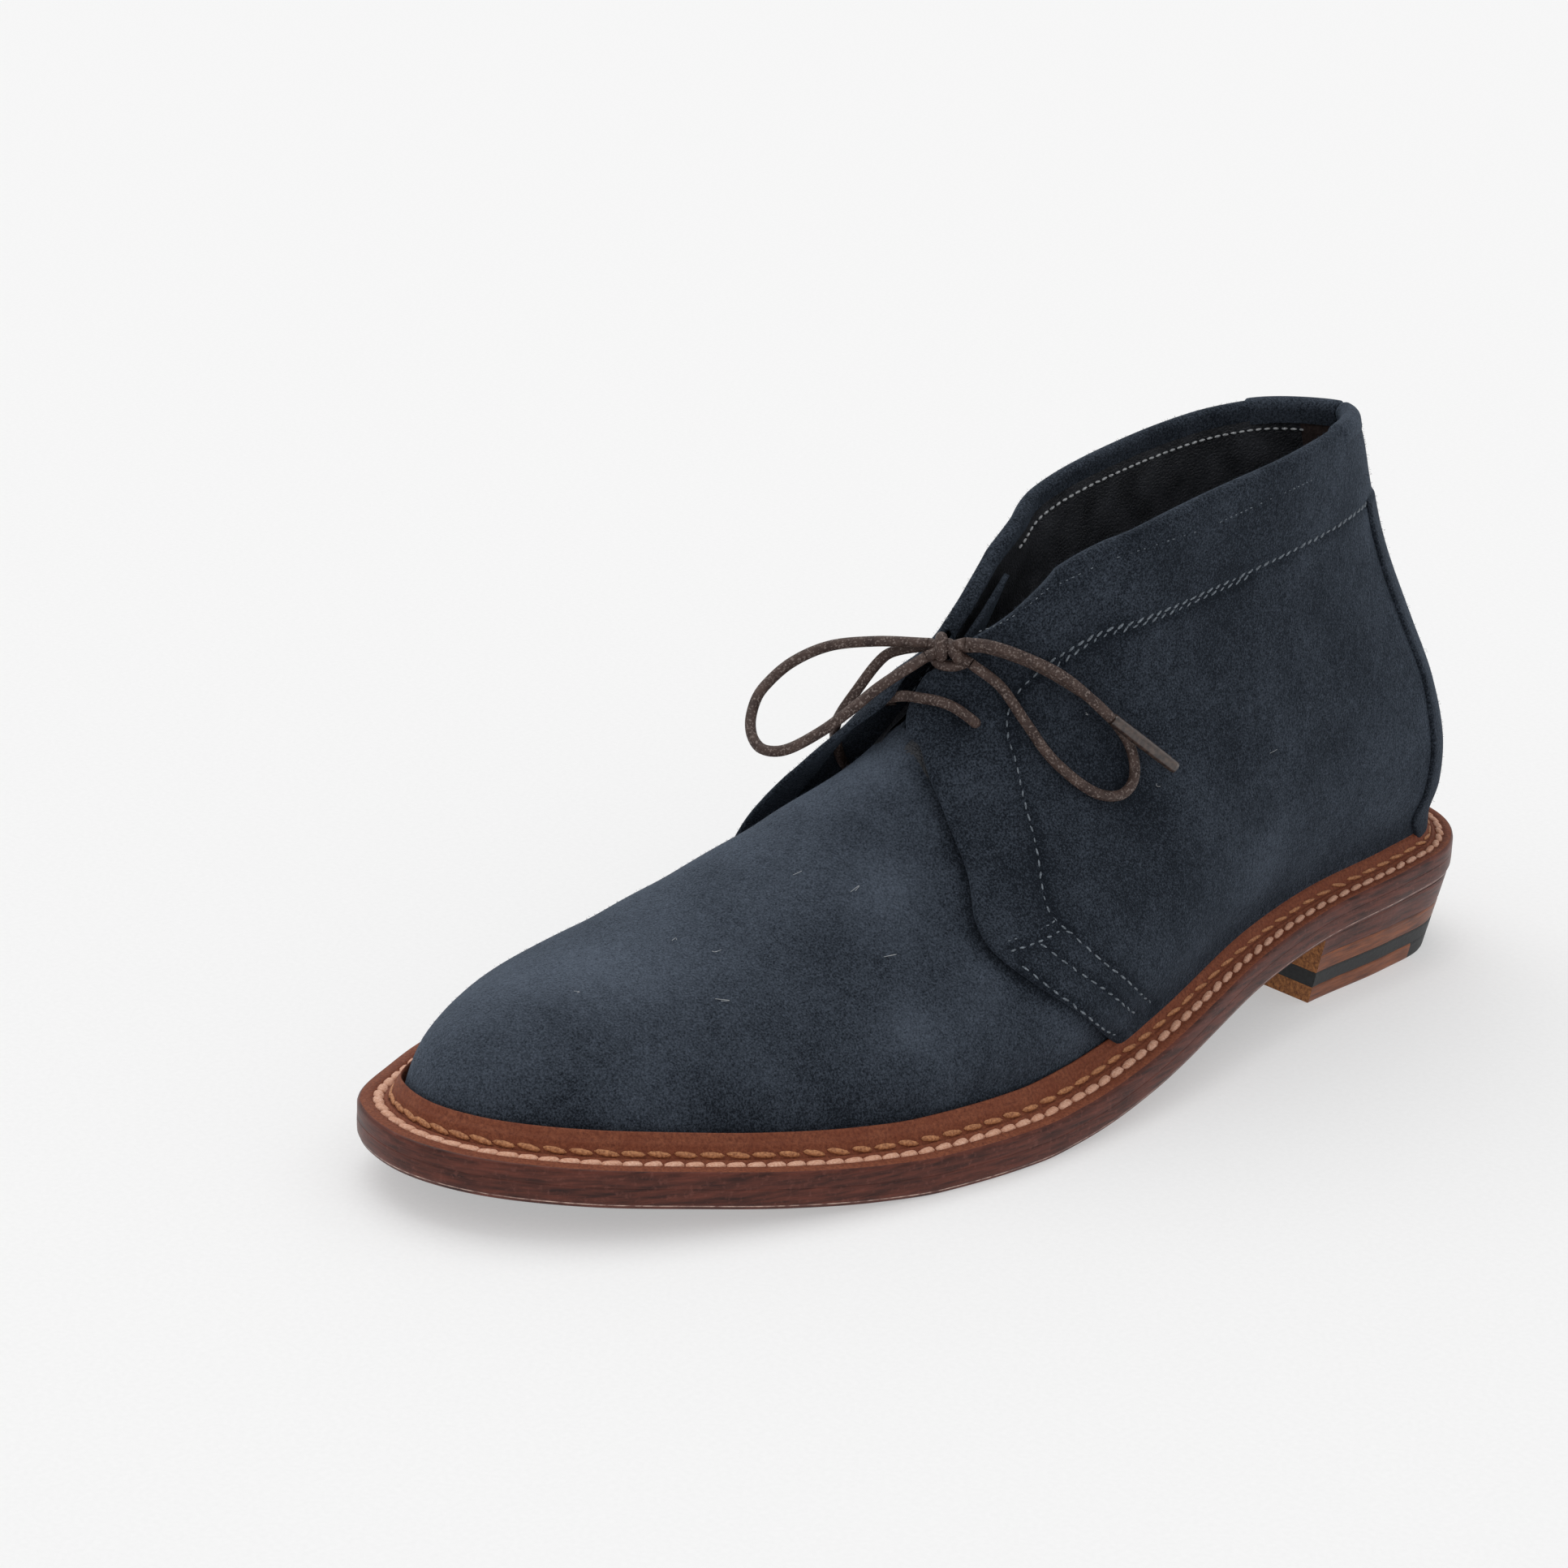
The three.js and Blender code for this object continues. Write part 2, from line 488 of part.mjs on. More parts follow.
add("lace_bar", cord(LOWER_BAR, LACE, 8), LACE_BROWN, 0.6);
add("lace_knot", cordBody(KNOT_UPRIGHT, KNOT_CORD, 7).add(cordBody(KNOT_SLANT, KNOT_CORD, 6)),
  LACE_BROWN, 0.6);
add("lace_loop_inner", cord(LOOP_INNER, LACE, 20), LACE_BROWN, 0.6);
add("lace_loop_outer", cord(LOOP_OUTER, LACE, 20), LACE_BROWN, 0.6);
add("lace_end_outer", cord(END_OUTER, LACE, 8), LACE_BROWN, 0.6);
add("aglet_outer", cord(AGLET_OUTER, AGLET, 1, 10), CLEAR, 0.3);
add("lace_end_inner", cord(END_INNER, LACE, 10), LACE_BROWN, 0.6);
add("aglet_inner", cord(AGLET_INNER, AGLET, 1, 10), CLEAR, 0.3);

export default group;
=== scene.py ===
# %% [markdown]
# Chukka boot, left foot. A chukka is cut from few panels: a vamp over the toes that runs up
# into the tongue, and two quarters that wrap the heel, overlap the vamp and meet at the
# throat with two pairs of eyelets. Here the CAD solids give every place and size, and each
# visible panel is made again as fine cloth-like mesh over the same form.

# %% Load the frame
import math

import bmesh
import bpy
import numpy as np
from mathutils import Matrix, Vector
from mathutils.kdtree import KDTree


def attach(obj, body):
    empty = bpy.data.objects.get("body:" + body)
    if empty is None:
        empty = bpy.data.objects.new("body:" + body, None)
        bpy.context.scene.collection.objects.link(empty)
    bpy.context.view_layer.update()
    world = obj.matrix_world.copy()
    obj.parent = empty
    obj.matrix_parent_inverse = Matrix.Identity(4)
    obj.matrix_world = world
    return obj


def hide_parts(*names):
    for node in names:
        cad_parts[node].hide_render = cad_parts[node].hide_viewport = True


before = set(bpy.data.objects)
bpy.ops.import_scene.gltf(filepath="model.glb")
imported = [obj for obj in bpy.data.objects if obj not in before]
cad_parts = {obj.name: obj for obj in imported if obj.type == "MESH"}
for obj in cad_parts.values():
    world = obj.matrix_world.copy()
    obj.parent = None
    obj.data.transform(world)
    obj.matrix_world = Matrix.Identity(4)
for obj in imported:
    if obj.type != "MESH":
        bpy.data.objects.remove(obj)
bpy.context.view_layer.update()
MM = 0.001  # tables and sizes below are in millimetres

# %% [markdown]
# The camera stands as a product photographer's does, about a metre away with a long lens, so
# that toe and heel keep their true proportion. A camera could be aimed by a Track To
# constraint; here its turn is written down, because the slight roll of two degrees matters.

# %% Camera
CAMERA_PLACE = (0.65544, -0.76233, 0.39641)
CAMERA_TILT, CAMERA_ROLL, CAMERA_HEADING = 70.046, -2.108, 48.419
LENS, SENSOR, FAR = 102.416, 36.0, 20.0
lens = bpy.data.cameras.new("camera")
lens.lens, lens.sensor_width, lens.clip_end = LENS, SENSOR, FAR
camera = bpy.data.objects.new("camera", lens)
camera.location = CAMERA_PLACE
camera.rotation_euler = [math.radians(v) for v in (CAMERA_TILT, CAMERA_ROLL, CAMERA_HEADING)]
bpy.context.scene.collection.objects.link(camera)
bpy.context.scene.camera = camera

# %% [markdown]
# Soft studio light: a bright even world, as in a light tent, and one very wide sun, which
# stands for a large window high on the left. A wide sun lights the pale floor evenly to its
# far edge; an area lamp would leave a bright pool round the boot.

# %% Light and floor
scene = bpy.context.scene
scene.view_settings.view_transform = "Standard"


def linear(code):
    """A colour written as sRGB hex, as the shader wants it."""
    parts = [int(code[i:i + 2], 16) / 255 for i in (1, 3, 5)]
    return (*[v / 12.92 if v <= 0.04045 else ((v + 0.055) / 1.055) ** 2.4 for v in parts], 1.0)


WORLD_LIGHT, WINDOW_LIGHT, WINDOW_WIDTH = 0.69, 0.98, 50.0
WINDOW_FROM = (-0.42, 0.05, 1.0)
world = bpy.data.worlds.new("studio")
world.use_nodes = True
world.node_tree.nodes["Background"].inputs["Color"].default_value = linear("#ffffff")
world.node_tree.nodes["Background"].inputs["Strength"].default_value = WORLD_LIGHT
scene.world = world
window = bpy.data.lights.new("window", "SUN")
window.energy, window.angle = WINDOW_LIGHT, math.radians(WINDOW_WIDTH)
sun = bpy.data.objects.new("window", window)
sun.rotation_euler = (-Vector(WINDOW_FROM)).to_track_quat("-Z", "Y").to_euler()
scene.collection.objects.link(sun)

# %% [markdown]
# Every material is built from nodes. One small function adds a node, sets its options and
# its inputs, and links an input when the value is another node's socket.

# %% Shader helpers


def add_node(tree, kind, inputs=None, **settings):
    made = tree.nodes.new(kind)
    for key, value in settings.items():
        setattr(made, key, value)
    for key, value in (inputs or {}).items():
        if isinstance(value, bpy.types.NodeSocket):
            tree.links.new(value, made.inputs[key])
        else:
            made.inputs[key].default_value = value
    return made


def new_material(name, roughness, **sockets):
    """A Principled material; the sockets' names are given with _ for each space."""
    made = bpy.data.materials.new(name)
    made.use_nodes = True
    tree = made.node_tree
    shader = tree.nodes["Principled BSDF"]
    shader.inputs["Roughness"].default_value = roughness
    for key, value in sockets.items():
        shader.inputs[key.replace("_", " ")].default_value = value
    return made, tree, shader


def noise(tree, size_mm, detail=2.0, roughness=0.5, vector=None):
    """Noise whose lumps are about size_mm across, on Object coordinates."""
    if vector is None:
        vector = add_node(tree, "ShaderNodeTexCoord").outputs["Object"]
    return add_node(tree, "ShaderNodeTexNoise", {
        "Vector": vector, "Scale": 1.0 / (size_mm * MM), "Detail": detail,
        "Roughness": roughness}).outputs["Fac"]


def blend(tree, factor, first, second, mode="MIX"):
    """Mixes two colours, each a socket or an sRGB hex code."""
    made = add_node(tree, "ShaderNodeMix", {"Factor": factor}, data_type="RGBA", blend_type=mode)
    for socket, value in ((made.inputs[6], first), (made.inputs[7], second)):
        if isinstance(value, bpy.types.NodeSocket):
            tree.links.new(value, socket)
        else:
            socket.default_value = linear(value)
    return made.outputs[2]


def remap(tree, value, low, high, to_low=0.0, to_high=1.0):
    return add_node(tree, "ShaderNodeMapRange", {
        "Value": value, "From Min": low, "From Max": high, "To Min": to_low,
        "To Max": to_high}).outputs["Result"]


def maths(tree, operation, first, second=0.0):
    return add_node(tree, "ShaderNodeMath", {0: first, 1: second}, operation=operation).outputs[0]


def bump(tree, shader, height, depth_mm, strength=1.0):
    made = add_node(tree, "ShaderNodeBump", {
        "Height": height, "Distance": depth_mm * MM, "Strength": strength})
    tree.links.new(made.outputs["Normal"], shader.inputs["Normal"])


def map_across(tree):
    """The two shares of the piece's own map, as sockets X and Y."""
    own_map = add_node(tree, "ShaderNodeUVMap", uv_map="UVMap").outputs["UV"]
    return add_node(tree, "ShaderNodeSeparateXYZ", {"Vector": own_map}).outputs


def flattened(tree, times):
    """Object coordinates that make a pattern this many times thinner than it is long."""
    place = add_node(tree, "ShaderNodeTexCoord").outputs["Object"]
    return add_node(tree, "ShaderNodeMapping", {
        "Vector": place, "Scale": (1.0, 1.0, times)}).outputs["Vector"]


def two_tone(name, roughness, dark, light, size_mm, detail=3.0, grain=0.5, span=(0.3, 0.7),
             depth_mm=0.0, layers=0.0, **sockets):
    """A material of two shades mixed by one noise, which may raise its surface as well."""
    made, tree, shader = new_material(name, roughness, **sockets)
    pattern = noise(tree, size_mm, detail, grain, flattened(tree, layers) if layers else None)
    tree.links.new(blend(tree, remap(tree, pattern, *span), dark, light),
                   shader.inputs["Base Color"])
    if depth_mm:
        bump(tree, shader, pattern, depth_mm)
    return made


# %% [markdown]
# The floor is one large flat grid of matt paper. The paper lies on a light table, whose glow
# thins the shadow under the sole, so a little emission does what a second lamp would.

# %% Floor
FLOOR_HALF, TABLE_GLOW = 6.0, 0.4
floor_finish = two_tone("matt_white_paper", 0.9, "#bfbfbf", "#c3c3c3", 1.2,
                        Specular_IOR_Level=0.1, Emission_Color=linear("#ffffff"),
                        Emission_Strength=TABLE_GLOW)
floor_mesh = bmesh.new()
bmesh.ops.create_grid(floor_mesh, x_segments=4, y_segments=4, size=FLOOR_HALF)
floor_data = bpy.data.meshes.new("floor")
floor_mesh.to_mesh(floor_data)
floor_mesh.free()
floor = bpy.data.objects.new("floor", floor_data)
floor_data.materials.append(floor_finish)
scene.collection.objects.link(floor)

# %% [markdown]
# A waxed round shoelace is a braid of fine yarns pulled over a core. It could be modelled
# strand by strand, but at 2.4 mm across the eye reads only small slanting cells with dark
# gaps, so the tube is smooth and two crossing waves along its own map make the braid; the
# dark in its gaps is painted shade.

# %% Lace finish
LACE = 2.4
BRAID_CELL, BRAID_CELLS_ROUND = 1.15, 4
# wax leaves a dull gloss on the raised yarns, and worn spots show paler
lace_finish, tree, shader = new_material("waxed_braided_cotton", 0.62, Specular_IOR_Level=0.35)
chart = map_across(tree)
turn = maths(tree, "MULTIPLY", chart["Y"], 2 * math.pi * BRAID_CELLS_ROUND)
step = maths(tree, "MULTIPLY", chart["X"], 2 * math.pi / (BRAID_CELL * MM))
left_wave = maths(tree, "SINE", maths(tree, "ADD", step, turn))
right_wave = maths(tree, "SINE", maths(tree, "SUBTRACT", step, turn))
braid = remap(tree, maths(tree, "MULTIPLY", left_wave, right_wave), -0.35, 0.35)
yarn = blend(tree, remap(tree, noise(tree, 3.0, 3.0), 0.35, 0.7), "#46332d", "#6b554c")
worn = blend(tree, remap(tree, noise(tree, 0.5, 2.0), 0.54, 0.66), yarn, "#a3928a")
# the near-black between the braid's cells is painted shade in the gaps between yarns
tree.links.new(blend(tree, braid, "#160f0e", worn), shader.inputs["Base Color"])
bump(tree, shader, braid, 0.3)

# %% [markdown]
# The lace is cord of a fixed length, so its routes come from the CAD model: the lower bar
# that crosses from eyelet to eyelet, two loops, two ends and the wraps of the knot. Each
# route is a few points on one smooth line, and a tube with its own map follows it.

# %% Lace routes, in millimetres
LOWER_BAR = [[10.7, -120.6, 83], [8.8, -122.2, 84.7], [6.8, -123.3, 85.7],
             [4, -125, 86.4], [1.3, -126.5, 86.5], [-3.2, -127.9, 86.1], [-8.2, -128.6, 84.3],
             [-12.9, -128.2, 82], [-16.9, -126.4, 79.6], [-18, -122.4, 79.4]]
LOOP_INNER = [[0, -125.1, 95.3], [-1.3, -127.6, 93.6], [-4.4, -134.3, 89.1],
              [-6.5, -140.9, 84.3], [-8.8, -146.7, 80.2], [-12.5, -152.7, 76.4],
              [-15.1, -154.7, 75.5], [-18.1, -155.7, 75.6], [-21.1, -155.3, 76.9],
              [-23.8, -153.8, 79], [-25.8, -151.5, 81.4], [-26.9, -149.1, 83.8],
              [-27.1, -146.6, 85.8], [-25.7, -141.2, 89.9], [-21.1, -134.7, 93.8],
              [-12.4, -128.6, 96.2], [-1.5, -122.8, 97.6]]
LOOP_OUTER = [[7.5, -118.7, 94.6], [12.2, -114.3, 90], [17, -110.7, 82.4],
              [21.8, -106.9, 74.7], [26.4, -100.8, 68.2], [28.3, -96.8, 65.9],
              [29.2, -92.1, 65.3], [28.9, -88.6, 66.9], [27.8, -86.8, 69.8],
              [25.4, -87, 75.5], [21.2, -92.7, 83.8], [18.3, -98.7, 88.8],
              [14.1, -107.7, 94.6], [8.2, -115.8, 97.9], [6.4, -118.3, 98]]
END_OUTER = [[7.5, -120.6, 99.7], [10.6, -117.6, 99.5], [13.2, -114.2, 98.4],
             [16.8, -109.1, 95.9], [19.3, -104.5, 93.2], [21.7, -100.3, 89.7],
             [25.8, -93.1, 82.1]]
AGLET_OUTER = [[25.9, -92.8, 81.9], [31.9, -78.4, 69.5]]
END_INNER = [[-3.6, -121, 96.1], [-8.4, -124.3, 94.6], [-10.7, -126.2, 93.3],
             [-11.7, -128.4, 91.2], [-13.1, -132.9, 85.4], [-15.4, -135, 80.1],
             [-18.6, -133.6, 75.4], [-21.7, -129.7, 69.3], [-24.5, -124.9, 63.8],
             [-26.3, -118, 58.3]]
AGLET_INNER = [[-26.4, -117.8, 58], [-30.1, -102.5, 45.5]]
KNOT_UPRIGHT = [[0.1, -120.9, 98.5], [1, -121.7, 99.3], [2.1, -122.7, 99.2],
                [2.8, -123.3, 98.1], [2.8, -123.2, 96.7], [2.1, -122.5, 95.6],
                [1.1, -121.6, 95.5]]
KNOT_SLANT = [[1.8, -120, 97.5], [2.8, -121, 98.2], [4.2, -121.5, 97.7],
              [5.1, -121.1, 96.6], [4.9, -120.1, 95.4], [3.8, -119.2, 95]]

# %% [markdown]
# Nearly every piece below starts as a flat bmesh grid whose points are moved by a function,
# as cloth is moulded by hand. A tube is such a grid rolled round a route. Doing it by hand
# in Edit Mode would work too, but a function can be measured and changed.

# %% Grids of cloth and tubes


def add_piece(data, finish, slot, node=None, smooth=True):
    """Puts a mesh on the boot, where it rides, and may stand in for a CAD node."""
    for face in data.polygons:
        face.use_smooth = smooth
    made = bpy.data.objects.new(data.name, data)
    scene.collection.objects.link(made)
    data.materials.append(finish)
    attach(made, "root")
    if node:
        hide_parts(node)
    return made


def finish_mesh(name, mesh, *place, **more):
    """Turns a bmesh into a piece."""
    data = bpy.data.meshes.new(name)
    mesh.to_mesh(data)
    mesh.free()
    return add_piece(data, *place, **more)


def shaped_grid(mesh, columns, rows, shape, uv_size=(1.0, 1.0)):
    """Adds a grid and moves each of its points to shape(u, v), given in millimetres."""
    uv = mesh.loops.layers.uv.verify()
    points = bmesh.ops.create_grid(mesh, x_segments=columns, y_segments=rows, size=0.5,
                                   calc_uvs=True)["verts"]
    flat = np.array([p.co for p in points])
    for point, place in zip(points, shape(flat[:, 0] + 0.5, flat[:, 1] + 0.5) * MM):
        point.co = place
    for face in {face for point in points for face in point.link_faces}:
        for loop in face.loops:
            loop[uv].uv = (loop[uv].uv[0] * uv_size[0], loop[uv].uv[1] * uv_size[1])
    return points


def unit(vectors):
    """The same directions, each made one long."""
    return vectors / (np.linalg.norm(vectors, axis=-1, keepdims=True) + 1e-12)


def run_along(points):
    """Distance walked along a line up to each of its points."""
    return np.concatenate([[0], np.cumsum(np.linalg.norm(np.diff(points, axis=0), axis=1))])


def at_run(wanted, run, values):
    """Rows of values at the wanted distances, between those known at each run."""
    return np.stack([np.interp(wanted, run, values[:, k]) for k in range(values.shape[1])], -1)


def curve_span(a, b, c, d, share):
    """Centripetal Catmull-Rom curve from b to c, at shares of the way."""
    gap = [max(np.linalg.norm(n - m) ** 0.5, 1e-4) for m, n in ((a, b), (b, c), (c, d))]
    start = ((b - a) / gap[0] - (c - a) / (gap[0] + gap[1]) + (c - b) / gap[1]) * gap[1]
    end = ((c - b) / gap[1] - (d - b) / (gap[1] + gap[2]) + (d - c) / gap[2]) * gap[1]
    t = np.asarray(share)[..., None]
    return (b + start * t + (-3 * b + 3 * c - 2 * start - end) * t ** 2
            + (2 * b - 2 * c + start + end) * t ** 3)


SPAN_STEPS = 12


def smooth_path(points, spacing):
    """A smooth curve through the points at even spacing, and its length."""
    p = np.array(points, float)
    p = np.vstack([2 * p[0] - p[1], p, 2 * p[-1] - p[-2]])
    shares = np.arange(SPAN_STEPS) / SPAN_STEPS
    fine = np.vstack([curve_span(*p[i:i + 4], shares) for i in range(len(p) - 3)] + [p[-2]])
    run = run_along(fine)
    even = np.linspace(0, run[-1], max(int(run[-1] / spacing), 1) + 1)
    return at_run(even, run, fine), run[-1]


def add_tube(mesh, points, radius, sides=14, spacing=0.7):
    """Adds a tube along a route; radius is a number or a function of the share of its way."""
    path, length = smooth_path(points, spacing)
    tangent = unit(np.gradient(path, axis=0))
    side = np.cross(tangent[0], (0.0, 0.3, 1.0))
    across = []
    for t in tangent:  # carried along without twist
        side = unit(side - t * side.dot(t))
        across.append(side)
    across = np.array(across)
    other = np.cross(tangent, across)

    def shape(u, v):
        i = np.rint(u * (len(path) - 1)).astype(int)
        size = radius(u) if callable(radius) else radius
        angle = 2 * math.pi * v
        return (path[i] + across[i] * (size * np.cos(angle))[:, None]
                + other[i] * (size * np.sin(angle))[:, None])

    ring = shaped_grid(mesh, len(path) - 1, sides, shape, (length * MM, 1.0))
    bmesh.ops.remove_doubles(mesh, verts=ring, dist=1e-6)
    return path, length


def close_rims(mesh):
    """Fills every open rim with one face."""
    bmesh.ops.holes_fill(mesh, edges=[e for e in mesh.edges if e.is_boundary], sides=0)


def close_ends(mesh):
    close_rims(mesh)
    bmesh.ops.recalc_face_normals(mesh, faces=mesh.faces)


# %% Cords


def cord_piece(name, points, node):
    mesh = bmesh.new()
    path, length = add_tube(mesh, points, LACE / 2)
    close_ends(mesh)
    made = finish_mesh(name, mesh, lace_finish, "lace", node)
    print(name, "length", round(length, 1), "mm")
    return made


# %% [markdown]
# An aglet is a sleeve of clear film wound tight round the lace end with heat. The film is
# thin and glossy, so one solid tip with a coat does better than nested glass: brown yarn
# seen through it, with white glints painted as highlights along the film's creases.

# %% Aglets
AGLET, FILM_FOLDS = 3.0, 3
aglet_finish, tree, shader = new_material(
    "clear_film_tip", 0.3, Specular_IOR_Level=0.5, Coat_Weight=0.5, Coat_Roughness=0.15)
wander = maths(tree, "MULTIPLY", noise(tree, 9.0, 2.0), 1.6)
turns = maths(tree, "MULTIPLY", map_across(tree)["Y"], 2 * math.pi * FILM_FOLDS)
turns = maths(tree, "ADD", turns, wander)
folds_and_glints = remap(tree, maths(tree, "SINE", turns), 0.95, 1.0)
stain = blend(tree, remap(tree, noise(tree, 1.0, 3.0), 0.35, 0.65), "#2a201d", "#4f3f37")
# the pale colour along the creases is a painted highlight, the glint of the film
tree.links.new(blend(tree, folds_and_glints, stain, "#9d9289"), shader.inputs["Base Color"])
bump(tree, shader, folds_and_glints, 0.2)


def aglet_piece(name, points, node):
    mesh = bmesh.new()
    add_tube(mesh, points, lambda u: AGLET / 2 * (0.9 + 0.1 * np.minimum(u, 1 - u) ** 0.5),
             sides=18)
    close_ends(mesh)
    return finish_mesh(name, mesh, aglet_finish, "aglet", node)


tip_outer = aglet_piece("aglet_tip_outer", AGLET_OUTER, "aglet_outer")
tip_inner = aglet_piece("aglet_tip_inner", AGLET_INNER, "aglet_inner")
cord_piece("lace_loop_left", LOOP_INNER, "lace_loop_inner")
cord_piece("lace_loop_right", LOOP_OUTER, "lace_loop_outer")
cord_piece("lace_end_right", END_OUTER, "lace_end_outer")
cord_piece("lace_end_left", END_INNER, "lace_end_inner")

# %% [markdown]
# The knot is two visible wraps, one upright and one slanting, with the first half hitch
# under them. It is a short length of the same lace, pressed wider where it is pulled tight,
# plus the last few millimetres of each strand running in under the wraps.

# %% Knot and lower bar
knot = bmesh.new()
add_tube(knot, KNOT_UPRIGHT, lambda u: 1.25 + 0.2 * np.sin(math.pi * u), spacing=0.35)
add_tube(knot, KNOT_SLANT, lambda u: 1.2 + 0.2 * np.sin(math.pi * u), spacing=0.35)
knot_core = Vector((2.0, -121.0, 97.2))
for start in (LOOP_INNER[0], LOOP_INNER[-1], LOOP_OUTER[0], LOOP_OUTER[-1], END_OUTER[0],
              END_INNER[0]):
    way_in = [Vector(start).lerp(knot_core, share) for share in (0.0, 0.4, 0.8)]
    add_tube(knot, way_in, LACE / 2)
add_tube(knot, [[-1.0, -121.6, 94.6], [1.6, -122.6, 93.8], [4.2, -120.6, 93.6],
                [5.6, -117.6, 94.4]], 1.25, spacing=0.4)
close_ends(knot)
finish_mesh("lace_knot_tied", knot, lace_finish, "lace", "lace_knot")
bar = bmesh.new()
add_tube(bar, [[9.2, -117.6, 81.0], *LOWER_BAR, [-15.0, -119.0, 80.2]], LACE / 2)
close_ends(bar)
finish_mesh("lace_bar_laced", bar, lace_finish, "lace", "lace_bar")

# %% [markdown]
# The last is the form that a boot is pulled over. Its surface is one rule for the half
# breadth at any height and place along the foot, between the feather line, where the upper
# meets the welt, and the top line. The tables hold the shoemaker's own measurements.

# %% The last in tables
OUTSOLE_THICK, GAP, FEATHER_INSET, QUARTER_THICK, COLLAR_HALF = 4.8, 0.3, 9.3, 1.5, 18.4
# the sole's edge from above, (x, y) round from the back of the heel by the outer side
OUTLINE = [(-0.5, 40), (17, 36), (28.5, 24), (33, 4), (36, -25), (42, -55), (50.5, -88),
           (56, -120), (57, -150), (52, -182), (41.5, -213), (27.5, -239.2), (10, -256.2),
           (-8, -262), (-26.7, -257), (-40.3, -238.6), (-53, -212.5), (-55.5, -182),
           (-52.5, -150), (-42.5, -115), (-32.5, -85), (-29, -55), (-31, -25),
           (-32.5, 4), (-28.5, 24), (-18, 36)]
# by y: height of the underside
BOTTOM = [(-264, 9.2), (-245, 7.7), (-225, 5.9), (-200, 2.9), (-180, 0.9), (-165, 0),
          (-138, 0), (-125, 0.9), (-100, 4.6), (-75, 10.2), (-50, 14.9), (-26, 17.2),
          (42, 20.5)]
# by y: height of the top line over the foot, and its x
RIDGE = [(-252.6, 14.2, -8), (-251.6, 22.5, -8), (-248.5, 29, -8.5), (-241, 35, -9.5),
         (-225, 39.7, -10.5), (-200, 44.2, -11), (-175, 51.8, -10.5), (-150, 62.7, -9),
         (-132, 74, -6), (-125, 83, -4), (-119, 91.5, -2), (-114, 98.5, -1), (-105, 111, 0),
         (-97, 124, 0), (-86, 149, 0), (-76, 235, 0), (-60, 380, 0), (-20, 800, 0),
         (42, 1200, 0)]
# by height: y of the back seam
BACK = [(20, 30.6), (34, 30.6), (42, 32.8), (50, 32.2), (65, 28.8), (80, 22.7),
        (100, 14.8), (115, 10.5), (124, 7.5), (131, 4.5), (150, 2)]
# by y: height of the collar's rim, roundness of the section
COLLAR = [(-116, 95.5), (-113, 99), (-105, 106), (-97, 112), (-86, 117.5), (-76, 121.5),
          (-60, 125.4), (-35, 129.3), (-20, 131.2), (-8, 132), (6, 131.4)]
ROUND = [(-253, 2.2), (-225, 2.1), (-180, 2.0), (-140, 1.85), (-115, 2.0), (-60, 2.4),
         (42, 2.4)]
# by height over the feather: how much wider than the sole, at the forepart and the heel
SWELL = [(0, 0, 0), (8, 0, 0), (17, 0.035, 0.055), (28, 0.01, 0.095), (47, -0.12, 0.075),
         (72, -0.25, 0.02), (110, -0.34, -0.05)]

# %% Curves through the tables


def through(rows, column=1):
    """A smooth curve that never overshoots, through (where, value) rows."""
    x = np.array([r[0] for r in rows], float)
    y = np.array([r[column] for r in rows], float)
    h, d = np.diff(x), np.diff(y) / np.diff(x)
    slope = np.concatenate([[d[0]], np.zeros(len(x) - 2), [d[-1]]])
    for i in range(1, len(x) - 1):
        if d[i - 1] * d[i] > 0:
            wa, wb = 2 * h[i] + h[i - 1], h[i] + 2 * h[i - 1]
            slope[i] = (wa + wb) / (wa / d[i - 1] + wb / d[i])

    def at(value):
        v = np.clip(value, x[0], x[-1])
        i = np.clip(np.searchsorted(x, v, side="right") - 1, 0, len(x) - 2)
        t = (v - x[i]) / h[i]
        return (y[i] * (2 * t ** 3 - 3 * t ** 2 + 1) + slope[i] * h[i] * (t ** 3 - 2 * t ** 2 + t)
                + y[i + 1] * (3 * t ** 2 - 2 * t ** 3) + slope[i + 1] * h[i] * (t ** 3 - t ** 2))
    return at


def ease(low, high, value):
    """0 below low, 1 above high, and smooth between."""
    t = np.clip((value - low) / (high - low), 0, 1)
    return t * t * (3 - 2 * t)


underside, ridge_z, ridge_x = through(BOTTOM), through(RIDGE), through(RIDGE, 2)
back_y, collar_z, roundness = through(BACK), through(COLLAR), through(ROUND)
swell_fore, swell_heel = through(SWELL), through(SWELL, 2)


def feather(y):
    """Height of the line where the upper meets the sole."""
    return underside(y) + OUTSOLE_THICK + GAP


EDGE_STEPS = 480


def closed_curve(points, steps):
    """A smooth closed curve through the points."""
    p, out = np.array(points, float), []
    for k in range(steps):
        i, share = divmod(k / steps * len(p), 1)
        out.append(curve_span(*(p[(int(i) + j) % len(p)] for j in (-1, 0, 1, 2)), share))
    return np.array(out)


edge = closed_curve(OUTLINE, EDGE_STEPS)
edge_along = unit(np.roll(edge, -1, 0) - np.roll(edge, 1, 0))
edge_inward = np.stack([edge_along[:, 1], -edge_along[:, 0]], 1)
edge_closed, inward_closed = (np.vstack([line, line[:1]]) for line in (edge, edge_inward))
edge_run = run_along(edge_closed)
EDGE_LENGTH = edge_run[-1]
print("sole edge", round(EDGE_LENGTH), "mm round")


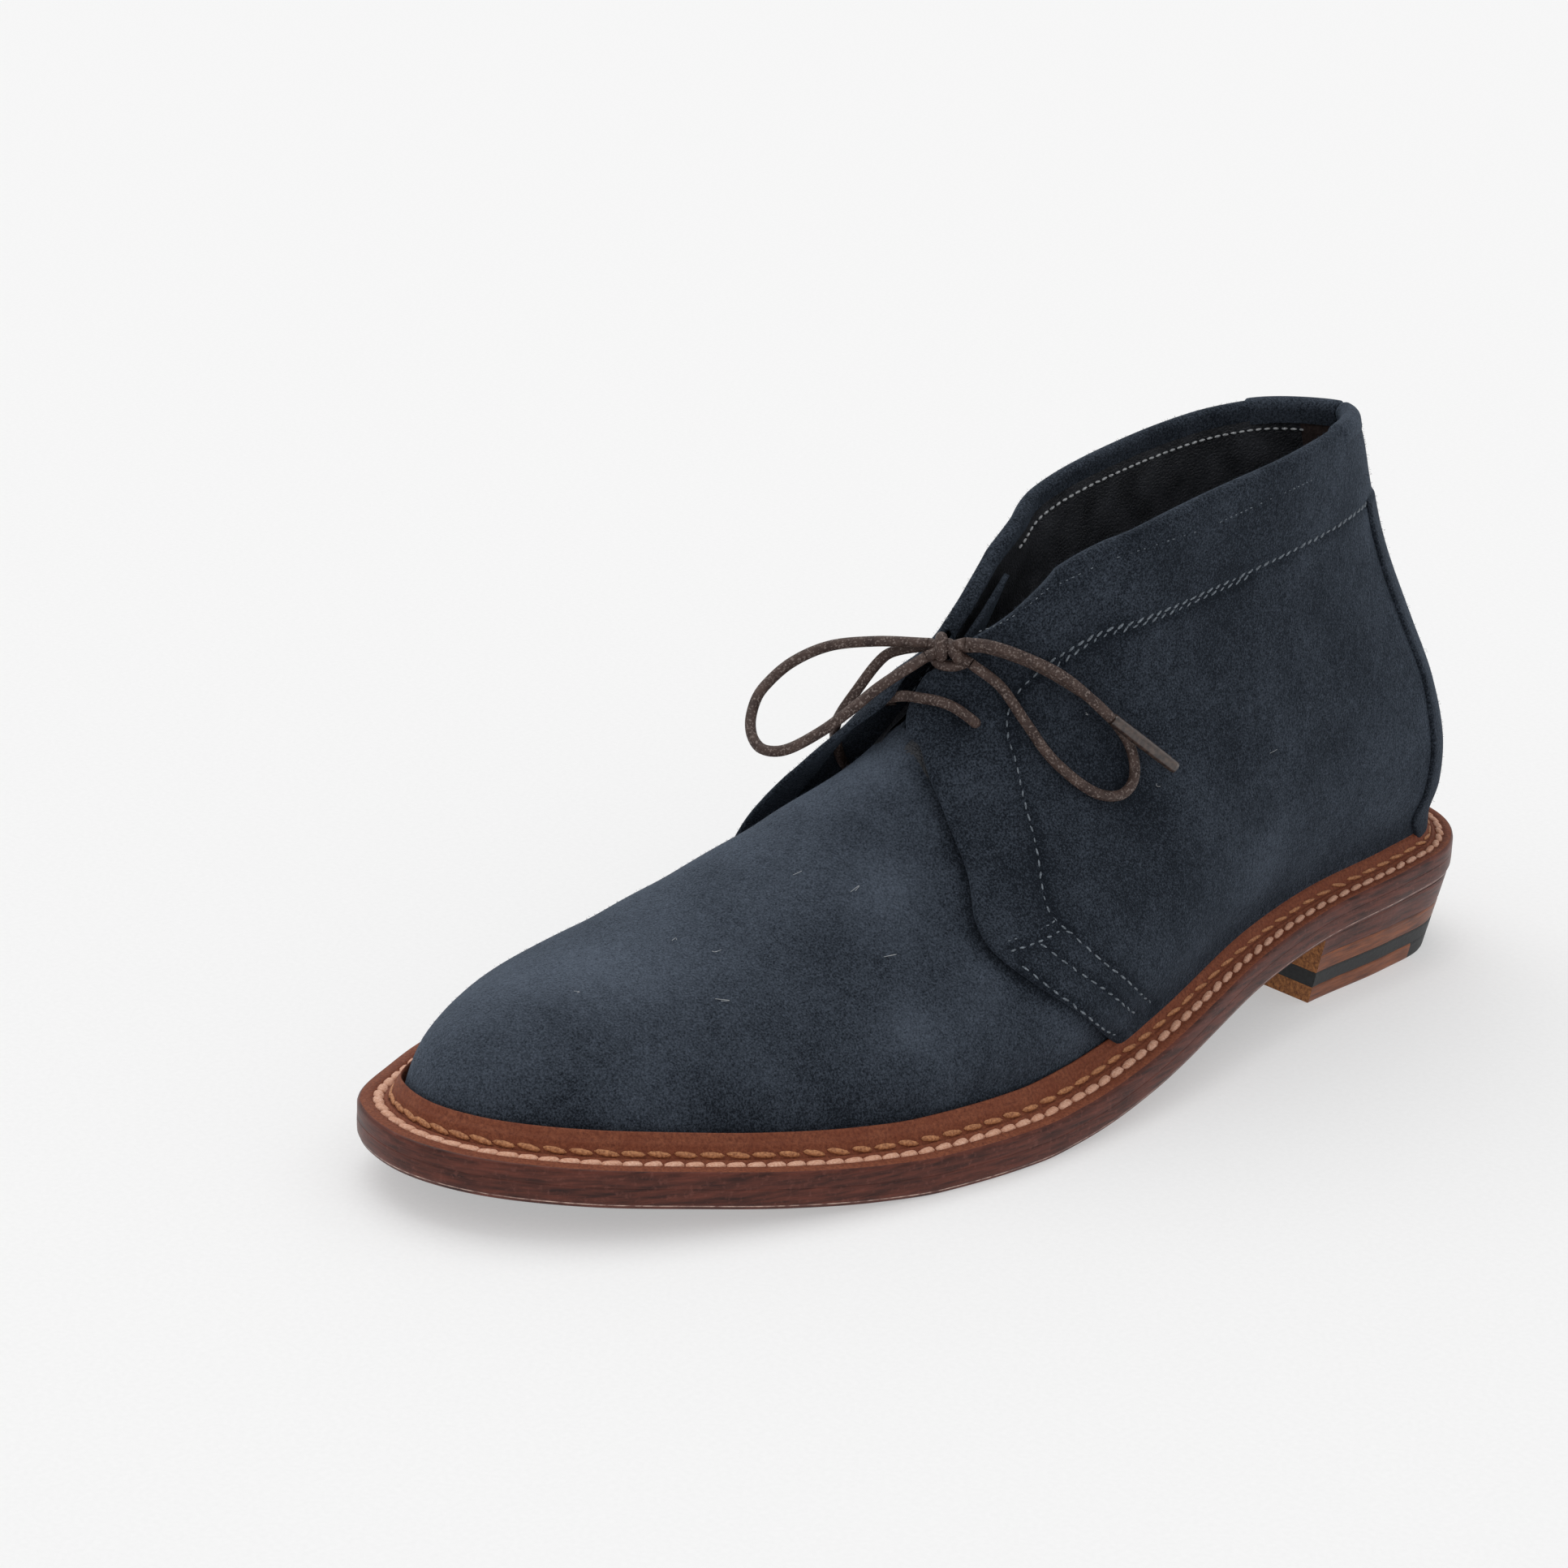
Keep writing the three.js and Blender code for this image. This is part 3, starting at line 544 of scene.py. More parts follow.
def inset_line(inset):
    """(toe y, heel y, outer x at y, inner x at y) of the sole's edge drawn in."""
    line = edge + edge_inward * inset
    toe, heel = line[:, 1].argmin(), line[:, 1].argmax()
    turned = np.roll(line, -heel, 0)
    count = (toe - heel) % len(line)
    sides = [turned[:count + 1], np.vstack([turned[count:], turned[:1]])]
    sides.sort(key=lambda s: -s[:, 0].mean())
    order = [s[np.argsort(s[:, 1], kind="stable")] for s in sides]
    return (line[toe, 1], line[heel, 1],
            lambda y: np.interp(y, order[0][:, 1], order[0][:, 0]),
            lambda y: np.interp(y, order[1][:, 1], order[1][:, 0]))


FOOT_TOE, FOOT_HEEL, foot_outer, foot_inner = inset_line(FEATHER_INSET)

# %% The surface of the last
BLEND_Y, LEG_CENTRE, PARTING = -12.0, -45.0, 0.7
HEEL_BLEND = (-90, -20)  # where the sides' swell changes from the forepart's to the heel's
LEG_HEIGHT, LEG_LENGTH = (20, 95), (-180, -110)  # where the foot's section turns to the leg's
COLLAR_END, COLLAR_FULL = 2.2, 0.62  # powers of the collar's plan: pointed or full


def breadth(y, z, side):
    """Where the last's surface lies across, by length, height and side."""
    base = feather(y)
    h = np.maximum(z - base, 0)
    rise = np.clip(h / np.maximum(ridge_z(y) - base, 1e-3), 0, 1)
    back = back_y(z)
    plan = np.where(y > BLEND_Y,
                    BLEND_Y + (y - BLEND_Y) * (FOOT_HEEL - BLEND_Y) / (back - BLEND_Y), y)
    plan = np.clip(plan, FOOT_TOE, FOOT_HEEL)
    outer, inner = foot_outer(plan), foot_inner(plan)
    heel_share = ease(*HEEL_BLEND, y)
    swell = swell_fore(h) * (1 - heel_share) + swell_heel(h) * heel_share
    leg = ease(*LEG_HEIGHT, h) * ease(*LEG_LENGTH, y)
    ahead = np.clip((y - LEG_CENTRE) / (back - LEG_CENTRE), 0, 1)
    leg_half = COLLAR_HALF * np.maximum(1 - ahead ** COLLAR_END, 0) ** COLLAR_FULL
    half = (outer - inner) / 2 * (1 + swell) * (1 - leg) + leg_half * leg
    bow = np.sqrt(np.maximum(1 - rise ** roundness(y), 0))
    middle, top = (outer + inner) / 2, ridge_x(y)
    centre = (middle * (1 - rise ** 1.5) + top * rise ** 1.5) * (1 - leg) + top * leg
    return centre + side * half * bow


def polyline_by_share(y, z):
    """The line's (y, z) at any share of its length."""
    run = run_along(np.stack([y, z], 1))
    return lambda share: (np.interp(share * run[-1], run, y), np.interp(share * run[-1], run, z))


THROAT = COLLAR[0][0]
front_y = np.concatenate([np.linspace(-252.6, -245, 41)[1:], np.linspace(-245, THROAT, 201)[1:]])
front_line = polyline_by_share(np.concatenate([[FOOT_TOE], front_y]),
                               np.concatenate([[feather(FOOT_TOE)], ridge_z(front_y)]))
TOP_BACK_Y = float(back_y(131))
back_z = np.linspace(feather(FOOT_HEEL), collar_z(TOP_BACK_Y), 121)
back_line = polyline_by_share(np.concatenate([[FOOT_HEEL], back_y(back_z[1:])]), back_z)


def side_view(s, v):
    """(length, height) for shares of the way from front to back and from welt to top line."""
    u = (1 - np.cos(np.pi * s)) / 2
    (fy, fz), (by, bz) = front_line(v), back_line(v)
    low_y, top_y = FOOT_TOE + (FOOT_HEEL - FOOT_TOE) * u, THROAT + (TOP_BACK_Y - THROAT) * u
    low = (low_y, feather(low_y))
    top = (top_y, collar_z(top_y) + (ridge_z(THROAT) - collar_z(THROAT)) * (1 - u))
    ends = [(line(0), line(1)) for line in (front_line, back_line)]
    out = []
    for k, (f, b) in enumerate(((fy, by), (fz, bz))):
        corner = ((ends[0][0][k] * (1 - u) + ends[1][0][k] * u) * (1 - v)
                  + (ends[0][1][k] * (1 - u) + ends[1][1][k] * u) * v)
        out.append(f * (1 - u) + b * u + low[k] * (1 - v) + top[k] * v - corner)
    y, z = out
    share = 1 - PARTING * u
    return y, np.minimum(z, feather(y) * (1 - share) + ridge_z(y) * share)


def bare_point(a, v):
    """Point of the last; a runs once round: 0 toe and instep, 1 or -1 the back, + outer side."""
    a = (np.asarray(a, float) + 1) % 2 - 1
    y, z = side_view(np.abs(a), np.clip(v, 0, 1))
    return np.stack([breadth(y, z, np.where(a < 0, -1.0, 1.0)), y, z], -1)


def wall(a, v, off=0.0):
    """Point off the surface of the last by a distance, and the outward normal there."""
    a, v = np.broadcast_arrays(np.asarray(a, float), np.asarray(v, float))
    step = 2e-3
    round_it = bare_point(a + step, v) - bare_point(a - step, v)
    up = bare_point(a, np.minimum(v + step, 1)) - bare_point(a, np.maximum(v - step, 0))
    normal = unit(np.cross(round_it, up))
    return bare_point(a, v) + normal * np.asarray(off)[..., None], normal


probe, probe_normal = wall(np.array([0.3, -0.3]), np.array([0.5, 0.5]))
print("last at mid foot", probe.round(1).tolist(), probe_normal.round(2).tolist())

# %% [markdown]
# Panels and seams are drawn by a pattern cutter on the side of the last, as points of length
# and height. To sew along such a line, each point is looked up on the surface; a few Newton
# steps turn (length, height) into the surface's own two numbers.

# %% From the pattern to the surface
seek_s, seek_v = np.meshgrid(np.linspace(0.02, 0.99, 140), np.linspace(0, 1, 120))
seek_y, seek_z = side_view(seek_s, seek_v)


def locate(y, z):
    """The surface's two shares at a point of the side view."""
    nearest = np.hypot(seek_y - y, seek_z - z).argmin()
    s, v = seek_s.flat[nearest], seek_v.flat[nearest]
    for _ in range(6):
        here = np.array(side_view(s, v))
        ds = (np.array(side_view(s + 1e-3, v)) - here) / 1e-3
        dv = (np.array(side_view(s, min(v + 1e-3, 1))) - here) / 1e-3
        try:
            move = np.linalg.solve(np.stack([ds, dv], 1), np.array([y, z]) - here)
        except np.linalg.LinAlgError:
            break
        s = float(np.clip(s + np.clip(move[0], -0.05, 0.05), 0.01, 0.99))
        v = float(np.clip(v + np.clip(move[1], -0.05, 0.05), 0, 0.999))
    return s, v


def seam(points, side, spacing, raised):
    """Even places along a seam given as (y, z): points, directions and normals."""
    marks = np.array([(*locate(*p), 0) for p in points])
    marks = smooth_path(marks * 100, 0.4)[0] / 100
    base, normal = wall(side * marks[:, 0], marks[:, 1])
    place = base + normal * raised(side, marks[:, 1], base)[:, None]
    run = run_along(place)
    even = np.arange(spacing / 2, run[-1], spacing)
    place, normal = at_run(even, run, place), at_run(even, run, normal)
    return place, unit(np.gradient(place, axis=0)), normal


chance = np.random.default_rng(11)


def stitch_frames(place, way, normal, size, lean=0.0, uneven=0.06):
    """A frame per stitch: half length, half width and half height in size, turned by lean."""
    across = np.cross(normal, way)
    lean = (lean + chance.normal(0, uneven, len(place)))[:, None]
    turned = way * np.cos(lean) + across * np.sin(lean)
    sideways = np.cross(normal, turned)
    long = size[0] * (1 + chance.uniform(-uneven, uneven, len(place)))[:, None]
    return np.stack([turned * long, sideways * size[1], normal * size[2], place], -1)


def scatter(name, base, frames, finish, slot):
    """Joins one copy of a small mesh for each frame into one piece."""
    corners = np.array([v.co for v in base.verts])
    faces = [[v.index for v in f.verts] for f in base.faces]
    frames = np.concatenate(frames)
    placed = np.einsum("nij,kj->nki", frames[:, :, :3], corners) + frames[:, None, :, 3]
    data = bpy.data.meshes.new(name)
    data.from_pydata((placed.reshape(-1, 3) * MM).tolist(), [],
                     [[i + n * len(corners) for i in f] for n in range(len(frames))
                      for f in faces])
    print(name, len(frames), "copies,", len(data.polygons), "faces")
    return add_piece(data, finish, slot)


def paint(piece, name, value):
    """Keeps one number per point of the piece, computed from its place in millimetres."""
    points = np.array([v.co for v in piece.data.vertices]) / MM
    attribute = piece.data.attributes.new(name, "FLOAT", "POINT")
    attribute.data.foreach_set("value", value(points).astype(np.float32))


# %% [markdown]
# Suede is leather with its flesh side raised into a nap. It has no gloss; what the eye sees
# is short fibre catching light at grazing angles, and strokes where the nap lies another
# way and turns lighter or darker. A nap value per point carries those strokes and painted
# light and shade, noise adds the mottle and the grain of the fibre, and sheen lightens the edges.

# %% Suede finish


def suede(name, dark, light, sheen):
    """A napped leather between two shades, paler towards its edges by its sheen."""
    made, tree, shader = new_material(
        name, 0.95, Specular_IOR_Level=0.12, Sheen_Weight=sheen, Sheen_Roughness=0.45,
        Sheen_Tint=linear("#a9bdd6"))
    # this value holds brushed strokes of nap and painted light and shade alike
    nap_and_shade = add_node(tree, "ShaderNodeAttribute", attribute_name="nap_and_shade").outputs["Fac"]
    # real fibre is 0.1 mm or less; its grain is drawn at 0.45 mm so that it shows
    cloud = remap(tree, noise(tree, 16.0, 2.0, 0.5), 0.3, 0.7, -0.09, 0.09)
    mottle = remap(tree, noise(tree, 2.2, 3.0, 0.6), 0.3, 0.7, -0.07, 0.07)
    fibre = remap(tree, noise(tree, 0.45, 2.0, 0.8), 0.3, 0.7, -0.34, 0.34)
    shade = maths(tree, "ADD", maths(tree, "ADD", nap_and_shade, cloud), maths(tree, "ADD", mottle, fibre))
    tree.links.new(blend(tree, shade, dark, light), shader.inputs["Base Color"])
    pile = maths(tree, "ADD", noise(tree, 0.5, 2.0, 0.7), noise(tree, 1.4, 2.0, 0.5))
    bump(tree, shader, pile, 0.3, 0.9)
    return made


suede_finish = suede("navy_split_suede", "#12171e", "#59626f", 0.2)

# %% [markdown]
# The vamp is one piece of suede lasted over the toes: it has no seam, only the soft troughs
# that walking would start. It is shaped as a grid over the last, a little over one
# millimetre a step, and given its thickness by a Solidify modifier.

# %% Vamp
VAMP_SIDE, VAMP_TOP, VAMP_THICK = 0.64, 0.9, 1.1
# soft troughs across the vamp: y on the middle line, slant, bow, depth, half width
CREASES = [(-186, 0.25, 0.004, 0.35, 7.0), (-169, 0.3, 0.004, 0.3, 6.0),
           (-152, 0.2, 0.003, 0.35, 6.0)]


def troughs(p):
    depth = np.zeros(len(p))
    for y0, slant, bow, deep, wide in CREASES:
        x = p[:, 0] + 9
        line = y0 + slant * x + bow * x ** 2
        depth -= deep * np.exp(-((p[:, 1] - line) / wide) ** 2) * np.exp(-(x / 40) ** 4)
    return depth


# how far the vamp dips under the throat, by its length along the foot
DIP = through([(-150, 0.0), (-138, 0.8), (-131, 1.6), (-124, 5.0), (-119, 9.0), (-112, 12.0)])


def vamp_shape(u, v):
    a, height = (2 * u - 1) * VAMP_SIDE, v * VAMP_TOP
    flat, normal = wall(a, height)
    place = flat + normal * troughs(flat)[:, None]
    place[:, 2] -= DIP(flat[:, 1]) * ease(0.45, 0.75, height)
    return place


def lasted_sheet(name, steps, shape, finish, slot, node=None, thick=0.0, turned=False):
    """A sheet shaped over the last; turned shows its other face, thick gives it a wall."""
    mesh = bmesh.new()
    shaped_grid(mesh, *steps, shape)
    if turned:
        bmesh.ops.reverse_faces(mesh, faces=mesh.faces)
    made = finish_mesh(name, mesh, finish, slot, node)
    if thick:
        modifier = made.modifiers.new("thickness", "SOLIDIFY")
        modifier.thickness, modifier.offset = thick * MM, -1.0
    return made


vamp = lasted_sheet("vamp", (210, 130), vamp_shape, suede_finish, "suede", "upper", VAMP_THICK)

# %% [markdown]
# Each quarter runs from the back seam to the throat. Its cut edge is folded under and sewn,
# so it is round and stands a little off the vamp. The grid's columns are spaced by distance
# behind that edge, close together where it turns under; its last rows roll over the collar.

# %% Quarter pattern, (y, z) of the front edge from the welt to the throat
SIDES = ((1, "outer"), (-1, "inner"))
QUARTER_FRONT = {
    1: [(-98, 8), (-104.9, 14.6), (-114, 22), (-125.4, 31), (-131.5, 36), (-134.6, 39.5),
        (-135.1, 43.9), (-130.9, 52.9), (-129.4, 63.1), (-128.9, 68.2), (-127.6, 75.3),
        (-125.6, 82)],
    -1: [(-119, 8), (-125, 14.6), (-132.5, 22), (-140, 31), (-143.5, 36), (-145.5, 41),
         (-145, 47), (-143, 54), (-139.5, 61), (-135, 68.2), (-130, 75.3), (-126, 82)]}
FACING_X = {1: 1.9, -1: -4.4}
FACING_FROM = 0.95  # above this share of the height the edge follows the throat
QUARTER_TOP = GAP + QUARTER_THICK
FOLD_CENTRE, FOLD_RADIUS = 0.35, 1.45
QUARTER_LOW, QUARTER_HIGH = 0.02, 0.988
front_marks = {side: [locate(*mark) for mark in marks] for side, marks in QUARTER_FRONT.items()}


def facing_at(side, height):
    fine = np.linspace(0.0, 0.3, 80)
    return np.interp(abs(FACING_X[side]), np.abs(bare_point(side * fine, height)[:, 0]), fine)


front_curve = {}
for side in FACING_X:
    rows = [(v, s) for s, v in front_marks[side]]
    rows += [(v, facing_at(side, v)) for v in (FACING_FROM, 0.975, 1.0)]
    front_curve[side] = through(rows)


def front_of_quarter(v, side):
    """How far round the quarter's front edge lies at each height, without its sign."""
    return front_curve[side](v)


def walk(v, start, end, distances):
    """Ring parameter after walking distances(whole way, height) from start towards end."""
    share = np.linspace(0, 1, 400)
    out = []
    for h, a, b in zip(v, start, end):
        ring = a + (b - a) * share
        run = run_along(bare_point(ring, h))
        out.append(np.interp(distances(run[-1], h), run, ring))
    return np.array(out)


# distances in from the cut edge, and how far its turned-under skin stands off there
UNDER = [(8.0, 0.35), (5.0, 0.35), (2.5, 0.35), (1.0, 0.35), (0.3, 0.55), (0.05, 0.85),
         (0.0, 1.15), (0.08, 1.45), (0.35, 1.7), (0.8, 1.8), (1.4, 1.8), (2.0, 1.8)]
BODY_COLUMNS, BODY_ROWS, FOLD_ROWS, INNER_ROWS = 170, 110, 10, 5
INNER_DEPTH = 2.6
EYELETS = [(-120.1, 82.2), (-117.9, 95.1)]
BAND_ROW = [(-101.1, 92.8), (-90.1, 97.2), (-74.1, 100.7), (-59.7, 103.2), (-40.3, 106.4),
            (-15.5, 109.6), (4, 110.8)]
# each row of stitches: (y, z) marks, pitch, half length, half width, lean
QUARTER_ROWS = [
    (BAND_ROW, 2.6, 1.15, 0.38, 0.4),
    ([(-99.8, 91.6), (-90.1, 96), (-74.1, 99.5), (-59.7, 102), (-46, 104.3)],
     2.6, 1.0, 0.28, 0.4),
    ([(-101.1, 92.8), (-108.6, 87.2), (-112.8, 71.6), (-114.6, 58.5), (-118.4, 45.2),
      (-116.7, 42)], 2.6, 0.85, 0.26, 0.0),
    ([(-131.4, 39.1), (-123.8, 40.3), (-116.7, 42)], 2.4, 0.85, 0.28, 0.0),
    ([(-131, 40.7), (-123.9, 41.9), (-117.6, 43.6)], 1.7, 0.5, 0.18, 0.0),
    ([(-116.7, 42), (-108.7, 33.4), (-92.4, 20.7)], 2.9, 0.95, 0.27, 0.0),
    ([(-123.8, 40.3), (-116, 32.9), (-99.4, 20.6)], 2.9, 0.95, 0.27, 0.0),
    ([(-130.1, 36.9), (-122.1, 29.2), (-105.5, 17)], 2.9, 0.95, 0.27, 0.0),
    ([(-113.8, 100.5), (-96.8, 109.1), (-77.7, 116.2), (-60.4, 118.4), (-41.1, 121.6),
      (-26, 123.4)], 1.6, 0.42, 0.14, 0.0)]
HEAVY_FROM = 0.25  # half width from which a row's thread pulls a groove
band_z = through(BAND_ROW)
INNER_SHIFT = 10.0  # how much further forward the low rows lie on the inner side


def row_marks(marks, side):
    if side > 0:
        return marks
    return [(y - INNER_SHIFT * float(ease(84, 50, z) * ease(-90, -116, y)), z)
            for y, z in marks]


def edge_lift(side, distance, p):
    """How far the edge stands off the vamp: most at the inner side, near the throat."""
    if side > 0:
        return 0.8 * np.exp(-(distance / 7) ** 2) * ease(30, 45, p[..., 2])
    near = ease(26, 52, p[..., 2]) * (1 - ease(84, 96, p[..., 2]))
    return 4.6 * np.exp(-(distance / 20) ** 2) * near


def quarter_raise(side, height, base):
    """How far the quarter's face stands off the last, without its seams' grooves."""
    cut = bare_point(side * front_of_quarter(height, side), height)
    distance = np.linalg.norm(base - cut, axis=-1)
    band = 0.5 * ease(-0.6, 0.8, base[..., 2] - band_z(base[..., 1]))
    return QUARTER_TOP + edge_lift(side, distance, base) + band


def nearest(places):
    """Distance from any point to the closest of the given places, in millimetres."""
    tree = KDTree(len(places))
    for index, place in enumerate(places):
        tree.insert(place, index)
    tree.balance()
    return lambda points: np.array([tree.find(p)[2] for p in points])


def on_last(side, height, base):
    return np.zeros(len(base))


to_rows = {side: nearest(np.concatenate([seam(row_marks(row[0], side), side, 0.5, on_last)[0]
                                         for row in QUARTER_ROWS if row[3] > HEAVY_FROM]))
           for side, _ in SIDES}


def rim(ring):
    """Places, outward normals and upward directions along the collar's fold."""
    base, normal = wall(ring, QUARTER_HIGH)
    return base, normal, unit(base - wall(ring, QUARTER_HIGH - 0.01)[0])


GROOVE, GROOVE_HALF = 0.45, 0.9  # pressed in by the rows of stitches
DIMPLE, DIMPLE_HALF, EDGE_CLEAR = 1.1, 1.5, 1.5  # at the eyelets, clear of the cut edge


def quarter_shape(side):
    """The quarter's shape function and its numbers of columns and rows."""
    heights = np.linspace(QUARTER_LOW, QUARTER_HIGH, BODY_ROWS)
    start = side * front_of_quarter(heights, side)
    near = np.array([d for d, _ in UNDER])
    spread = np.linspace(0, 1, BODY_COLUMNS) ** 1.15

    def distances(total, _):
        return np.concatenate([near, near[-1] + (total - near[-1]) * spread[1:]])

    table = walk(heights, start, np.full(BODY_ROWS, side * 1.0), distances)
    heights = np.concatenate([heights, np.full(FOLD_ROWS + INNER_ROWS, QUARTER_HIGH)])
    table = np.vstack([table, np.repeat(table[-1:], FOLD_ROWS + INNER_ROWS, 0)])
    rows, columns = table.shape
    base, normal = wall(table, heights[:, None])
    dimpled = np.concatenate([near, np.full(columns - len(near), np.inf)]) > EDGE_CLEAR
    off = quarter_raise(side, heights[:, None], base)
    off[:, :len(UNDER)] += [o - QUARTER_TOP for _, o in UNDER]
    groove = to_rows[side](base[:BODY_ROWS].reshape(-1, 3)).reshape(BODY_ROWS, columns)
    off[:BODY_ROWS] -= GROOVE * np.exp(-(groove / GROOVE_HALF) ** 2)
    for y, z in EYELETS:
        away = np.hypot(base[..., 1] - y, base[..., 2] - z)
        off -= DIMPLE * np.exp(-(away / DIMPLE_HALF) ** 4) * dimpled
    place = base + normal * off[..., None]
    fold, outward, rise = rim(table[-1])
    thin = np.minimum((off[-1] - 0.35) / (QUARTER_TOP - 0.35) + 0.25, 1.25)[:, None]
    for k in range(1, FOLD_ROWS + INNER_ROWS + 1):
        turn = math.pi * min(k / FOLD_ROWS, 1)
        down = INNER_DEPTH * max(k - FOLD_ROWS, 0) / INNER_ROWS
        place[BODY_ROWS - 1 + k] = fold + outward * FOLD_CENTRE + thin * FOLD_RADIUS * (
            outward * math.cos(turn) + rise * math.sin(turn)) - rise * down

    def shape(u, v):
        column = np.rint(u * (columns - 1)).astype(int)
        row = np.rint(v * (rows - 1)).astype(int)
        return place[row, column]

    return shape, columns - 1, rows - 1


quarters = {}
for side, label in SIDES:
    shape, *steps = quarter_shape(side)
    quarters[label] = lasted_sheet("quarter_" + label + "_suede", steps, shape, suede_finish,
                                   "suede", "quarter_" + label, turned=side < 0)
    print("quarter", label, steps)

# %% [markdown]
# The rows are lockstitch in a grey-blue thread. Each stitch is a small bead, longer than it
# is wide, pressed into the groove that the thread pulls in the suede; the row along the
# collar band is heavier and leans like a rope.

# %% Rows of stitches on the quarters
bead = bmesh.new()
bmesh.ops.create_uvsphere(bead, u_segments=8, v_segments=5, radius=1.0)
HEAVY_SUNK, LIGHT_SUNK = 0.42, 0.06
# spun polyester: matt, with the light and dark of its twist
thread_grey = two_tone("polyester_thread_grey_blue", 0.55, "#39424b", "#858e97", 0.4, 2.0)
for side, label in SIDES:
    frames = []
    for marks, pitch, long, wide, lean in QUARTER_ROWS:
        place, way, normal = seam(row_marks(marks, side), side, pitch, quarter_raise)
        sunk = HEAVY_SUNK if wide > HEAVY_FROM else LIGHT_SUNK
        sunk = sunk + chance.uniform(-0.05, 0.12, len(place))[:, None]
        frames.append(stitch_frames(place - normal * sunk, way, normal,
                                    (long, wide, wide * 0.9), side * lean, 0.14))
    scatter("stitches_quarter_" + label, bead, frames, thread_grey, "suede")

# %% [markdown]
# The lining is thin calf, pasted inside the upper and sewn along the collar. Here it is one
# sheet just inside the wall, facing the foot, slit where the throat opens.

# %% Lining
# glazed calf: dark, smooth, with a faint pebble grain in its soft gloss
lining_finish, tree, shader = new_material("calf_lining", 0.5, Specular_IOR_Level=0.4)
grain = add_node(tree, "ShaderNodeTexVoronoi", {
    "Vector": add_node(tree, "ShaderNodeTexCoord").outputs["Object"],
    "Scale": 1 / (0.9 * MM)}, feature="DISTANCE_TO_EDGE").outputs["Distance"]
patch = noise(tree, 9.0, 3.0)
tree.links.new(blend(tree, remap(tree, patch, 0.35, 0.7), "#202226", "#3e4045"),
               shader.inputs["Base Color"])
bump(tree, shader, remap(tree, grain, 0.0, 0.25), 0.12)
LINING_OFF, LINING_TOP, SLIT = -1.4, 0.975, (0.80, 0.86)


def lining_shape(u, v):
    height = v * LINING_TOP
    slit = ease(*SLIT, height)
    outer, inner = ((front_of_quarter(height, side) + 0.02) * slit for side, _ in SIDES)
    return wall(outer + u * (2 - outer - inner), height, LINING_OFF)[0]


lasted_sheet("lining", (220, 90), lining_shape, lining_finish, "lining_leather", turned=True)

# %% [markdown]
# Inside, the collar is sewn with one row under the rim and a twin row further down, and a
# rougher heel grip is let in at the back, split by the back seam.

# %% Heel grip and the seams inside
# brushed leather: no gloss at all, and browner than the lining
grip_finish = two_tone("brushed_heel_grip", 0.9, "#231c1b", "#463a37", 0.8, grain=0.7,
                       depth_mm=0.15, Specular_IOR_Level=0.2)
GRIP_REACH, GRIP_LOW, GRIP_HIGH = 0.15, 0.30, 0.955


def grip_shape(u, v):
    seam_dip = 0.5 * np.exp(-((u - 0.5) / 0.012) ** 2)
    edge = np.minimum(np.minimum(u, 1 - u) / 0.02, np.minimum(v, 1 - v) / 0.02)
    off = LINING_OFF - 0.7 * np.minimum(edge, 1) + seam_dip
    return wall(1 + (2 * u - 1) * GRIP_REACH, GRIP_LOW + (GRIP_HIGH - GRIP_LOW) * v, off)[0]


lasted_sheet("heel_grip", (81, 50), grip_shape, grip_finish, "lining_leather", turned=True)


def on_lining(side, height, base):
    return np.full(len(base), LINING_OFF - 0.25)


LINING_ROWS = [(6.2, 2.2), (24.0, 2.4), (26.0, 2.4)]  # depth under the rim, and pitch
frames = []
for side, _ in SIDES:
    for below, pitch in LINING_ROWS:
        marks = [(y, float(collar_z(y)) - below) for y in np.linspace(-88, 2, 8)]
        place, way, normal = seam(marks, side, pitch, on_lining)
        frames.append(stitch_frames(place, way, -normal, (0.85, 0.32, 0.3)))
# the same thread undyed, nearly white against the dark lining
thread_lining = two_tone("polyester_thread_pale", 0.5, "#8e9296", "#d3d6d8", 0.4, 2.0)
scatter("stitches_lining", bead, frames, thread_lining, "lining_leather")

# %% [markdown]
# The tongue is part of the vamp's skin carried on under the facings. It is modelled as a
# narrower copy of the instep, dropped by the thickness of what lies over it.

# %% Tongue
TONGUE_LOW, TONGUE_HIGH, TONGUE_REACH, TONGUE_THICK = 0.66, 0.985, 0.26, 1.3
TONGUE_WIDTH, TONGUE_DROP = 0.8, (0, 2.6, -2.3)


def tongue_shape(u, v):
    a = (2 * u - 1) * TONGUE_REACH
    p, _ = wall(a, TONGUE_LOW + (TONGUE_HIGH - TONGUE_LOW) * v)
    middle = ridge_x(p[:, 1])
    p[:, 0] = middle + (p[:, 0] - middle) * TONGUE_WIDTH
    return p + np.array(TONGUE_DROP)


tongue = lasted_sheet("tongue_suede", (60, 60), tongue_shape, suede_finish, "suede", "tongue",
                      TONGUE_THICK)

# %% [markdown]
# The backstay covers the back seam: a strip of the same suede that starts narrow at the
# collar band and widens round the heel, turned under and sewn down both sides.

# %% Backstay
# (height, half width along the surface)
STAY_HALF = [(20, 26.5), (28, 28), (36, 31.5), (47, 31), (59, 28.3), (69, 24.4), (80, 21.3),
             (90, 18.4), (100, 15.8), (106, 14.8), (111, 14)]
STAY_TOP_V, STAY_STEPS, STAY_ROWS = 0.812, 20, 90
stay_half = through(STAY_HALF)
stay_heights = np.linspace(0.02, STAY_TOP_V, STAY_ROWS + 1)
# distances in from the edge, and how far the strip stands off there
STAY_EDGE = [(0.0, 0.1), (0.0, 0.6), (0.2, 0.9), (0.7, 1.05), (2.0, 1.05)]


